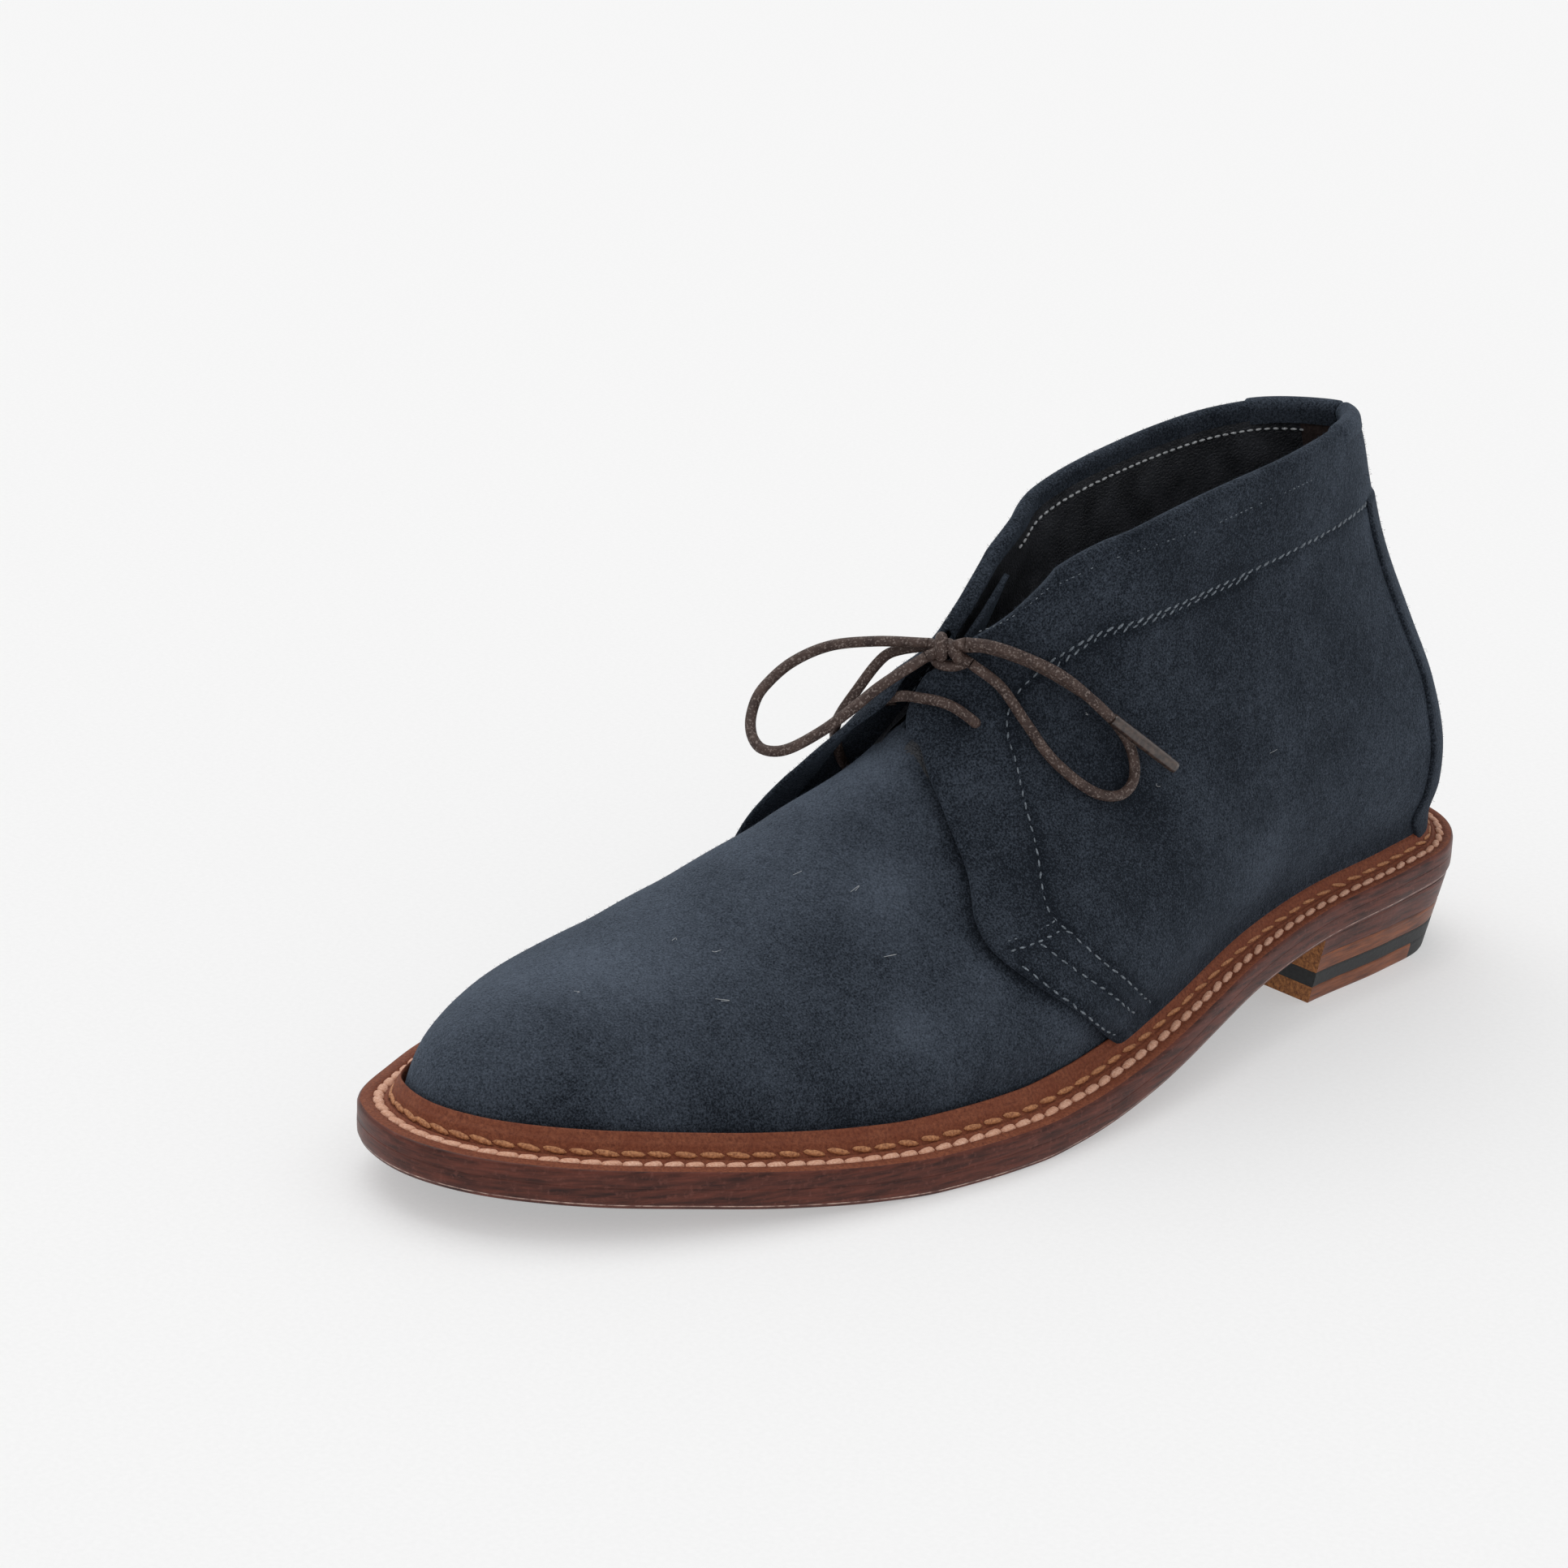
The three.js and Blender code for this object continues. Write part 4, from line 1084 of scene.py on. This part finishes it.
def stay_steps(_, height):
    half = float(stay_half(back_line(height)[1]))
    edge_steps = half - np.array([d for d, _ in STAY_EDGE])
    return np.concatenate([np.linspace(0, edge_steps[-1], STAY_STEPS)[:-1], edge_steps[::-1]])


back = np.ones(STAY_ROWS + 1)
stay_sides = [walk(stay_heights, back, back + way * 0.4, stay_steps) for way in (-1, 1)]
stay_table = np.hstack([stay_sides[0][:, ::-1], stay_sides[1][:, 1:]])
STAY_LAST = stay_table.shape[1] - 1


def backstay_shape(u, v):
    row, column = np.rint(v * STAY_ROWS).astype(int), np.rint(u * STAY_LAST).astype(int)
    edge_in = np.minimum(column, STAY_LAST - column)
    off = np.interp(edge_in, range(len(STAY_EDGE)), [o for _, o in STAY_EDGE])
    off = np.where(row == STAY_ROWS, np.minimum(off, 0.3), off)
    return wall(stay_table[row, column], stay_heights[row], QUARTER_TOP + off)[0]


stay = lasted_sheet("backstay_suede", (STAY_LAST, STAY_ROWS), backstay_shape, suede_finish,
                    "suede", "backstay")
print("backstay top", bare_point(1.0, STAY_TOP_V).round(1).tolist())

# %% [markdown]
# A strip of the same suede is folded over the rim at the back, where a foot rubs it when the
# boot is pulled on.

# %% Strip over the rim
STRIP_REACH, STRIP_OUT, STRIP_IN, STRIP_STEPS, STRIP_ROWS = 23.0, 2.6, 3.4, 30, 24
strip_sides = [walk([QUARTER_HIGH], [1.0], [end],
                    lambda total, _: np.linspace(0, STRIP_REACH, STRIP_STEPS + 1))[0]
               for end in (0.6, 1.4)]
strip_ring = np.concatenate([strip_sides[0][::-1], strip_sides[1][1:]])


def strip_shape(u, v):
    base, normal, rise = rim(strip_ring[np.rint(u * 2 * STRIP_STEPS).astype(int)])
    turn = math.pi * np.clip((v - 0.2) / 0.5, 0, 1)[:, None]
    down = STRIP_OUT * np.clip(1 - v / 0.2, 0, 1) + STRIP_IN * np.clip((v - 0.7) / 0.3, 0, 1)
    end = np.clip(np.minimum(u, 1 - u) / 0.02, 0, 1)
    radius = FOLD_RADIUS + 0.6 * end ** 0.5 * (v > 0.01) + 0.3
    middle = base + normal * FOLD_CENTRE
    return (middle + radius[:, None] * (normal * np.cos(turn) + rise * np.sin(turn))
            - rise * down[:, None])


mesh = bmesh.new()
shaped_grid(mesh, 2 * STRIP_STEPS, STRIP_ROWS, strip_shape)
bmesh.ops.recalc_face_normals(mesh, faces=mesh.faces)
strip = finish_mesh("collar_back_strip", mesh, suede_finish, "suede")

# %% [markdown]
# Hands and boxes brush the nap of suede this way and that. Strokes towards the light look
# pale, strokes away from it dark. The same soft spots also hold painted light and shade: a
# darker outer side on the vamp, painted shadow under the quarters' edges and behind the outer
# lace loop, and painted shade in the crease over the welt. An image could hold this, but one
# number per point does, worked out from a few soft spots.

# %% Nap of the suede, with painted light and shade
# strokes of the hand in the nap and spots of painted light and shade: centre, radius, and how
# much lighter or darker
VAMP_STROKES_AND_SHADE = [(-3, -136, 73, 8, 0.32), (-9, -149, 68, 9, 0.2), (-6, -165, 61, 9, 0.12),
                (-2, -199, 48, 16, 0.14), (-6, -214, 45, 12, 0.14), (7, -206, 44, 9, 0.16),
                (17, -148, 53, 7, 0.2), (39, -160, 30, 6, 0.2), (-16, -240, 35, 9, 0.1),
                (-13, -225, 42, 9, 0.14), (3, -139, 67, 4, -0.2), (5, -147, 63, 4, -0.2),
                (8, -156, 58, 4, -0.15), (34, -182, 30, 9, -0.1), (41, -182, 18, 8, -0.12),
                (6, -227, 38, 8, -0.08), (29, -207, 26, 9, -0.08), (-16, -244, 33, 9, -0.08),
                (24, -152, 48, 10, 0.06)]
QUARTER_STROKES_AND_SHADE = [(28, -4, 52, 13, 0.14), (11, 6, 107, 8, 0.14), (34, -49, 44, 10, 0.14),
                   (25, 13, 57, 9, 0.12), (21, -12, 89, 12, -0.1), (21, -51, 102, 14, -0.1),
                   (30, -88, 61, 10, -0.1), (38, -82, 47, 10, -0.1)]


VAMP_NAP, QUARTER_NAP, TONGUE_NAP, STAY_NAP, STRIP_NAP, FIBRE_NAP = (
    0.44, 0.165, 0.22, 0.14, 0.26, 0.3)


def strokes(p, table):
    out = np.zeros(len(p))
    for x, y, z, radius, change in table:
        out += change * np.exp(-(((p - (x, y, z)) / radius) ** 2).sum(1))
    return out


def welt_crease_shade(p):
    """Painted shade along the crease just over the welt."""
    return -0.1 * np.exp(-((p[:, 2] - feather(p[:, 1]) - 8) / 4) ** 2)


# distances to each quarter's cut edge, along which painted shadow lies on the vamp
up_the_edge = np.linspace(0.03, 0.9, 400)
cut_edge = {side: nearest(bare_point(side * front_of_quarter(up_the_edge, side), up_the_edge))
            for side, _ in SIDES}


def vamp_nap_and_shade(p):
    """Paler on top than down the outer side, as painted shade, and a painted shadow in the corner
    under each quarter.
    """
    # painted shade: darker down the outer side
    outer = ease(2, 32, p[:, 0] - ridge_x(p[:, 1]))
    # painted shadow on the vamp in the corner under each quarter's edge
    dark = sum(np.exp(-(cut_edge[side](p) / 1.8) ** 2) for side, _ in SIDES)
    return VAMP_NAP - 0.14 * outer + strokes(p, VAMP_STROKES_AND_SHADE) + welt_crease_shade(p) - 0.3 * dark


def quarter_nap_and_shade(side):
    """A little darker in a band along each row of stitches, with strokes and painted shade as on
    the vamp.
    """
    def value(p):
        return (QUARTER_NAP + strokes(p, QUARTER_STROKES_AND_SHADE) + welt_crease_shade(p)
                - 0.12 * np.exp(-((to_rows[side](p) - 1.4) / 1.3) ** 2))
    return value


paint(vamp, "nap_and_shade", vamp_nap_and_shade)
for side, label in SIDES:
    paint(quarters[label], "nap_and_shade", quarter_nap_and_shade(side))
for piece, value in ((tongue, TONGUE_NAP), (stay, STAY_NAP), (strip, STRIP_NAP)):
    paint(piece, "nap_and_shade", lambda p: np.full(len(p), value))

# %% [markdown]
# Under the upper runs the welt, a leather band sewn to the upper through its raised lip and
# to the sole through its flat. Both seams show. The band and the sole below are profiles
# carried round the sole's edge.

# %% Round the sole
EDGE_COLUMNS, FORE_END, HEEL_START = 900, -120, -50


def sole_point(run, inset, height):
    """Place at a run along the sole's edge, drawn in, at a height over the underside."""
    run = np.mod(run, EDGE_LENGTH)
    drawn_in = at_run(run, edge_run, inward_closed) * np.broadcast_to(inset, run.shape)[:, None]
    x, y = (at_run(run, edge_run, edge_closed) + drawn_in).T
    return np.stack([x, y, underside(y) + height], -1)


def heelwards(run):
    """0 at the forepart, 1 from the waist back."""
    return ease(FORE_END, HEEL_START, sole_point(run, 0, 0)[:, 1])


def round_the_sole(rows, shape):
    """A closed band: a profile of this many steps carried once round the sole."""
    mesh = bmesh.new()
    ring = shaped_grid(mesh, EDGE_COLUMNS, rows, shape)
    bmesh.ops.remove_doubles(mesh, verts=ring, dist=1e-6)
    return mesh


# (inset, height) of the welt's section, forepart and heel: edge, arris, flat, lip, back
WELT_FORE = [(0.25, 4.87), (0.25, 5.3), (0.25, 7.6), (0.45, 8.2), (0.85, 8.55), (1.9, 8.7),
             (3.3, 8.75), (3.6, 8.3), (5.7, 8.35), (6.0, 8.85), (6.6, 9.0), (6.9, 8.8),
             (7.25, 9.6), (7.6, 10.8), (7.75, 11.4), (8.0, 12.15), (8.3, 12.2),
             (8.7, 12.8), (9.0, 13.8), (9.3, 14.0), (9.4, 13.2), (9.4, 5.5)]
WELT_HEEL = [(0.2, 4.87), (0.2, 5.3), (0.2, 7.0), (0.35, 7.6), (0.7, 7.95), (1.3, 8.1),
             (2.2, 8.1), (2.5, 7.7), (4.5, 7.75), (4.8, 8.2), (5.2, 8.3), (5.5, 8.1),
             (5.9, 8.8), (6.3, 9.6), (6.7, 10.3), (6.9, 10.8), (7.2, 10.9),
             (7.6, 11.3), (8.2, 11.8), (8.7, 12.0), (9.2, 11.8), (9.2, 5.5)]


def welt_section(run, row):
    """Inset and height of one row of the section at each run."""
    fore = np.array(WELT_FORE)[row]
    heel = np.array(WELT_HEEL)[row]
    mixed = fore + (heel - fore) * heelwards(run)[:, None]
    return mixed[:, 0], mixed[:, 1]


def welt_shape(u, v):
    run = u * EDGE_LENGTH
    inset, height = welt_section(run, np.rint(v * (len(WELT_FORE) - 1)).astype(int))
    return sole_point(run, inset, height)


# %% [markdown]
# The welt is vegetable-tanned leather left dry: matt and tan, with painted shade in its
# grooves and painted highlights on its ridges. The edge below is dyed, waxed and ironed smooth,
# so it is dark, streaked along the sole and has a soft gloss. This painted light and shade is
# placed by the welt's own map, row by row.

# %% Sole and welt finishes
# dry welt leather: short fuzz breaks the light, so it has next to no gloss
leather_finish, tree, shader = new_material("welt_leather_tan", 0.7, Specular_IOR_Level=0.3)
fuzz = noise(tree, 0.7, 4.0, 0.7)
patch = noise(tree, 6.0, 2.0)
tone = blend(tree, remap(tree, fuzz, 0.3, 0.7), "#7c4630", "#bc7e5a")
tone = blend(tree, remap(tree, patch, 0.4, 0.75, 0.0, 0.5), tone, "#8f4d30")
# the welt's tone by place across the section, with painted shade in its grooves and a painted
# highlight on its ridges: (share, shade)
WELT_TONE_AND_SHADE = [(0.18, "#cbb2ac"), (0.27, "#e2d0c8"), (0.33, "#a89e98"), (0.42, "#f0eae4"),
               (0.48, "#e4dcd4"), (0.53, "#93897f"), (0.60, "#cfc4ba"), (0.66, "#8c8078"),
               (0.73, "#ffffff"), (0.78, "#cabfb6"), (0.86, "#eee8e0")]
bands = add_node(tree, "ShaderNodeValToRGB", {"Fac": map_across(tree)["Y"]})
for place, _ in WELT_TONE_AND_SHADE[1:-1]:
    bands.color_ramp.elements.new(place)
for stop, (place, shade) in zip(bands.color_ramp.elements, WELT_TONE_AND_SHADE):
    stop.position, stop.color = place, linear(shade)
# the ramp multiplies the painted shade and highlights into the welt's colour
tree.links.new(blend(tree, 1.0, tone, bands.outputs["Color"], "MULTIPLY"),
               shader.inputs["Base Color"])
bump(tree, shader, fuzz, 0.35)
# burnished edge: dark dye in streaks along the sole, with the soft gloss of ironed wax
edge_finish, tree, shader = new_material(
    "burnished_edge_leather", 0.42, Specular_IOR_Level=0.22, Coat_Weight=0.03,
    Coat_Roughness=0.3)
streak = noise(tree, 9.0, 4.0, 0.6, flattened(tree, 9.0))
speck = noise(tree, 1.2, 3.0, 0.6)
tone = blend(tree, remap(tree, streak, 0.3, 0.7), "#2e1713", "#69362a")
tree.links.new(blend(tree, remap(tree, speck, 0.55, 0.8, 0.0, 0.6), tone, "#7a4a40"),
               shader.inputs["Base Color"])
bump(tree, shader, streak, 0.2, 0.6)

# %% Welt and outsole


def side_rows(mesh, low, high):
    """Gives the second material to the faces between two shares of the section."""
    uv = mesh.loops.layers.uv.verify()
    for face in mesh.faces:
        share = sum(loop[uv].uv[1] for loop in face.loops) / len(face.loops)
        face.material_index = int(low < share < high)


WELT_ROWS = len(WELT_FORE) - 1
mesh = round_the_sole(WELT_ROWS, welt_shape)
bmesh.ops.recalc_face_normals(mesh, faces=mesh.faces)
side_rows(mesh, 0, 4.2 / WELT_ROWS)
welt = finish_mesh("welt_strip", mesh, leather_finish, "welt_leather", "welt")
welt.data.materials.append(edge_finish)
# (inset, height) of the outsole's section: tread, lower line, edge, top
SOLE_SECTION = [(14.0, 0.0), (2.0, 0.0), (1.1, 0.12), (0.75, 0.45), (0.62, 0.85),
                (0.45, 1.15), (0.3, 1.5), (0.22, 2.6), (0.2, 3.8), (0.22, 4.6), (0.25, 4.85),
                (2.0, 4.85)]
SOLE_ROWS = len(SOLE_SECTION) - 1


def sole_shape(u, v):
    inset, height = np.array(SOLE_SECTION)[np.rint(v * SOLE_ROWS).astype(int)].T
    return sole_point(u * EDGE_LENGTH, inset, height)


mesh = round_the_sole(SOLE_ROWS, sole_shape)
open_edges = [e for e in mesh.edges if e.is_boundary]
bmesh.ops.triangle_fill(mesh, edges=open_edges, use_beauty=False, use_dissolve=False)
bmesh.ops.recalc_face_normals(mesh, faces=mesh.faces)
# the bevel's row of faces takes the pale line, a painted highlight
side_rows(mesh, 4 / SOLE_ROWS, 5 / SOLE_ROWS)
sole = finish_mesh("outsole_leather", mesh, edge_finish, "sole_leather", "outsole")
# the sharp lower line of the edge, a pale line painted as the highlight on its small bevel
bevel_highlight_finish = two_tone("edge_line_painted_highlight", 0.5, "#6b423a", "#c9aa9c", 2.0,
                       span=(0.35, 0.65))
sole.data.materials.append(bevel_highlight_finish)

# %% [markdown]
# Two seams run round the welt. The outer one is thick pale linen, whose stitches touch and
# stand up like scallops; the inner one is waxed, lies flat and is half hidden by the lip.

# %% Seams of the welt
# dry linen: pale and matt, and each stitch a slightly different shade
thread_outer, tree, shader = new_material("linen_thread_pale", 0.75)
tint = add_node(tree, "ShaderNodeNewGeometry").outputs["Random Per Island"]
yarn = remap(tree, noise(tree, 0.5, 3.0), 0.3, 0.7)
tone = blend(tree, yarn, "#c48c70", "#ecc1a9")
tree.links.new(blend(tree, maths(tree, "MULTIPLY", tint, 0.35), tone, "#c98f6e"),
               shader.inputs["Base Color"])
bump(tree, shader, yarn, 0.1)
# waxed linen: darker, with a dull gloss
thread_inner = two_tone("linen_thread_waxed", 0.6, "#8a5230", "#cf9264", 0.5, depth_mm=0.25)


def welt_seam(first, last, pitch, size, lean):
    """Stitches on the welt between two rows of its section, smaller round the heel."""
    count = round(EDGE_LENGTH / pitch)
    run = np.arange(count) * EDGE_LENGTH / count
    low, high = (sole_point(run, *welt_section(run, np.full(count, row)))
                 for row in (first, last))
    ahead = sole_point(run + 1.0, *welt_section(run, np.full(count, first)))
    way = unit(ahead - low)
    normal = np.cross(high - low, way)
    normal = unit(normal * np.sign(normal[:, 2:3]))
    frames = stitch_frames((low + high) / 2, way, normal, size, lean)
    frames[:, :, 1:3] *= (1 - HEEL_SHRINK * heelwards(run))[:, None, None]
    return frames


HEEL_SHRINK, BLUNT = 0.3, 0.55
scallop = bead.copy()
for corner in scallop.verts:  # blunter ends, so that neighbours touch
    corner.co.x = math.copysign(abs(corner.co.x) ** BLUNT, corner.co.x)
scatter("welt_seam_outer", scallop, [welt_seam(7, 8, 4.5, (2.3, 1.25, 0.8), 0.22)],
        thread_outer, "welt_leather")
scatter("welt_seam_inner", bead, [welt_seam(11, 13, 5.8, (2.75, 0.7, 0.4), -0.12)],
        thread_inner, "welt_leather")

# %% [markdown]
# A stacked heel: a wedge that levels the sole, a leather lift, a rubber layer, and a top
# piece whose rear is rubber, where it strikes the ground. Each layer is trimmed with the
# others, so one taper runs through them all and only colour tells them apart.

# %% Heel
BREAST_Y, TIP_Y, LAYER_GROOVE = -26.0, 14.0, 0.18
HEEL_TAPER, HEEL_TOP_INSET, HEEL_HIGH = 5.2, 1.2, 18.0
# lifts of scrap leather ironed with wax: level streaks under a low gloss
stack_finish = two_tone("burnished_stack_leather", 0.42, "#4f2412", "#91502a", 8.0, 4.0, 0.6,
                        depth_mm=0.12, layers=8.0, Specular_IOR_Level=0.3, Coat_Weight=0.05,
                        Coat_Roughness=0.3)
# moulded rubber: even black, a shade duller than the wax
rubber_finish = two_tone("moulded_black_rubber", 0.6, "#17191b", "#25282a", 0.8, depth_mm=0.08)
# the breast is only sanded, so the leather's orange fibre shows in specks
breast_finish = two_tone("raw_leather_section", 0.85, "#6e4226", "#c2814c", 0.9, 4.0, 0.7,
                         (0.35, 0.65), 0.2)


def heel_inset(z):
    """How far the heel's side lies inside the sole's edge at each height."""
    return HEEL_TAPER + (HEEL_TOP_INSET - HEEL_TAPER) * z / HEEL_HIGH


def heel_layer(name, node, low, high, finish, slot, y_from, y_to):
    """One layer of the heel, between two heights over the floor, or up to the sole."""
    def shape(u, v):
        run = u * EDGE_LENGTH
        edge_step = LAYER_GROOVE * ((v < 0.01) | (v > 0.99))
        if high is None:
            y = sole_point(run, HEEL_TOP_INSET, 0)[:, 1]
            top = underside(y) - 0.05
        else:
            top = np.full(len(u), high)
        z = low + (top - low) * np.clip(v * 1.12 - 0.06, 0, 1)
        p = sole_point(run, heel_inset(z) + edge_step, 0)
        p[:, 2] = z
        return p

    mesh = round_the_sole(6, shape)
    close_rims(mesh)
    for cut, keep_sign in ((y_from, 1), (y_to, -1)):
        if cut is not None:
            everything = [*mesh.verts, *mesh.edges, *mesh.faces]
            bmesh.ops.bisect_plane(mesh, geom=everything, plane_co=(0, cut * MM, 0),
                                   plane_no=(0, -keep_sign, 0), clear_outer=True)
            close_rims(mesh)
    print(name, "open edges", sum(edge.is_boundary for edge in mesh.edges))
    bmesh.ops.recalc_face_normals(mesh, faces=mesh.faces)
    made = finish_mesh(name, mesh, finish, slot, node, smooth=False)
    made.data.materials.append(rubber_finish if finish is rubber_finish else breast_finish)
    for face in made.data.polygons:
        face.material_index = int(face.normal.y < -0.95)


# piece, CAD node, low, high, finish, slot, and where it is cut along the foot
for layer in (
        ("heel_top_leather", "heel_top_piece", 0.0, 4.15, stack_finish, "heel_leather",
         BREAST_Y, TIP_Y),
        ("heel_tip_rubber", "heel_rubber_tip", 0.0, 4.15, rubber_finish, "heel_rubber",
         TIP_Y, None),
        ("heel_layer_rubber", "heel_rubber_layer", 4.2, 8.0, rubber_finish, "heel_rubber",
         BREAST_Y, None),
        ("heel_lift_leather", "heel_lift", 8.05, 12.55, stack_finish, "heel_leather",
         BREAST_Y, None),
        ("heel_wedge_leather", "heel_wedge", 12.6, None, edge_finish, "heel_leather",
         BREAST_Y, None)):
    heel_layer(*layer)
insole_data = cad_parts["insole"].data
insole_data.materials.clear()
insole_data.materials.append(lining_finish)

# %% [markdown]
# Close to, suede is fur: fibres half a millimetre long stand off it, and they soften its
# outline. Growing a hair system would do, but a few thousand small cones joined in one mesh
# are enough, since only those on the outline show. A little pale lint lies on the boot.

# %% Standing fibres and lint
spike = bmesh.new()
bmesh.ops.create_cone(spike, segments=3, radius1=1.0, radius2=0.15, depth=2.0)
chance = np.random.default_rng(23)


def standing(piece, count, length, radius):
    """Frames for small cones that lean at random from random points of a piece."""
    data = piece.data
    places = np.array([v.co for v in data.vertices]) / MM
    normals = np.array([v.normal for v in data.vertices])
    pick = chance.choice(len(places), count)
    way = unit(normals[pick] + chance.normal(0, 0.5, (count, 3)))
    across = unit(np.cross(way, (0.3, 0.2, 0.9)))
    long = length * chance.uniform(0.5, 1.0, count)[:, None] / 2
    place = places[pick] + chance.normal(0, 0.3, (count, 3)) * across + way * long * 0.8
    return np.stack([across * radius, np.cross(way, across) * radius, way * long, place], -1)


# thicker than real fibre, so that each one still shows
FIBRE_RADIUS = 0.045
furred = [(vamp, 9000, 0.5), (quarters["outer"], 12000, 0.6), (quarters["inner"], 7000, 0.6),
          (stay, 1500, 0.5)]
fibres = scatter("suede_fibres", spike, [standing(*row, FIBRE_RADIUS) for row in furred],
                 suede_finish, "suede")
paint(fibres, "nap_and_shade", lambda p: np.full(len(p), FIBRE_NAP))
# spun cotton fluff: pale and matt
lint_finish = two_tone("pale_lint", 0.8, "#8d9296", "#dfe2e4", 1.0, 2.0, span=(0.0, 1.0))
lint = bmesh.new()
# share round and share up of each piece of lint
for a, height in ((0.12, 0.4), (0.2, 0.33), (0.27, 0.45), (0.17, 0.55), (0.33, 0.3),
                  (0.5, 0.5), (0.62, 0.42), (0.1, 0.25), (0.24, 0.22), (0.4, 0.7)):
    drift = chance.uniform(-0.006, 0.006, (3, 2))
    marks = [wall(a + i, height + j, 0.25 if a < 0.36 else 2.0)[0] for i, j in drift]
    add_tube(lint, marks, 0.045, sides=4, spacing=0.25)
close_ends(lint)
finish_mesh("lint", lint, lint_finish, "suede")
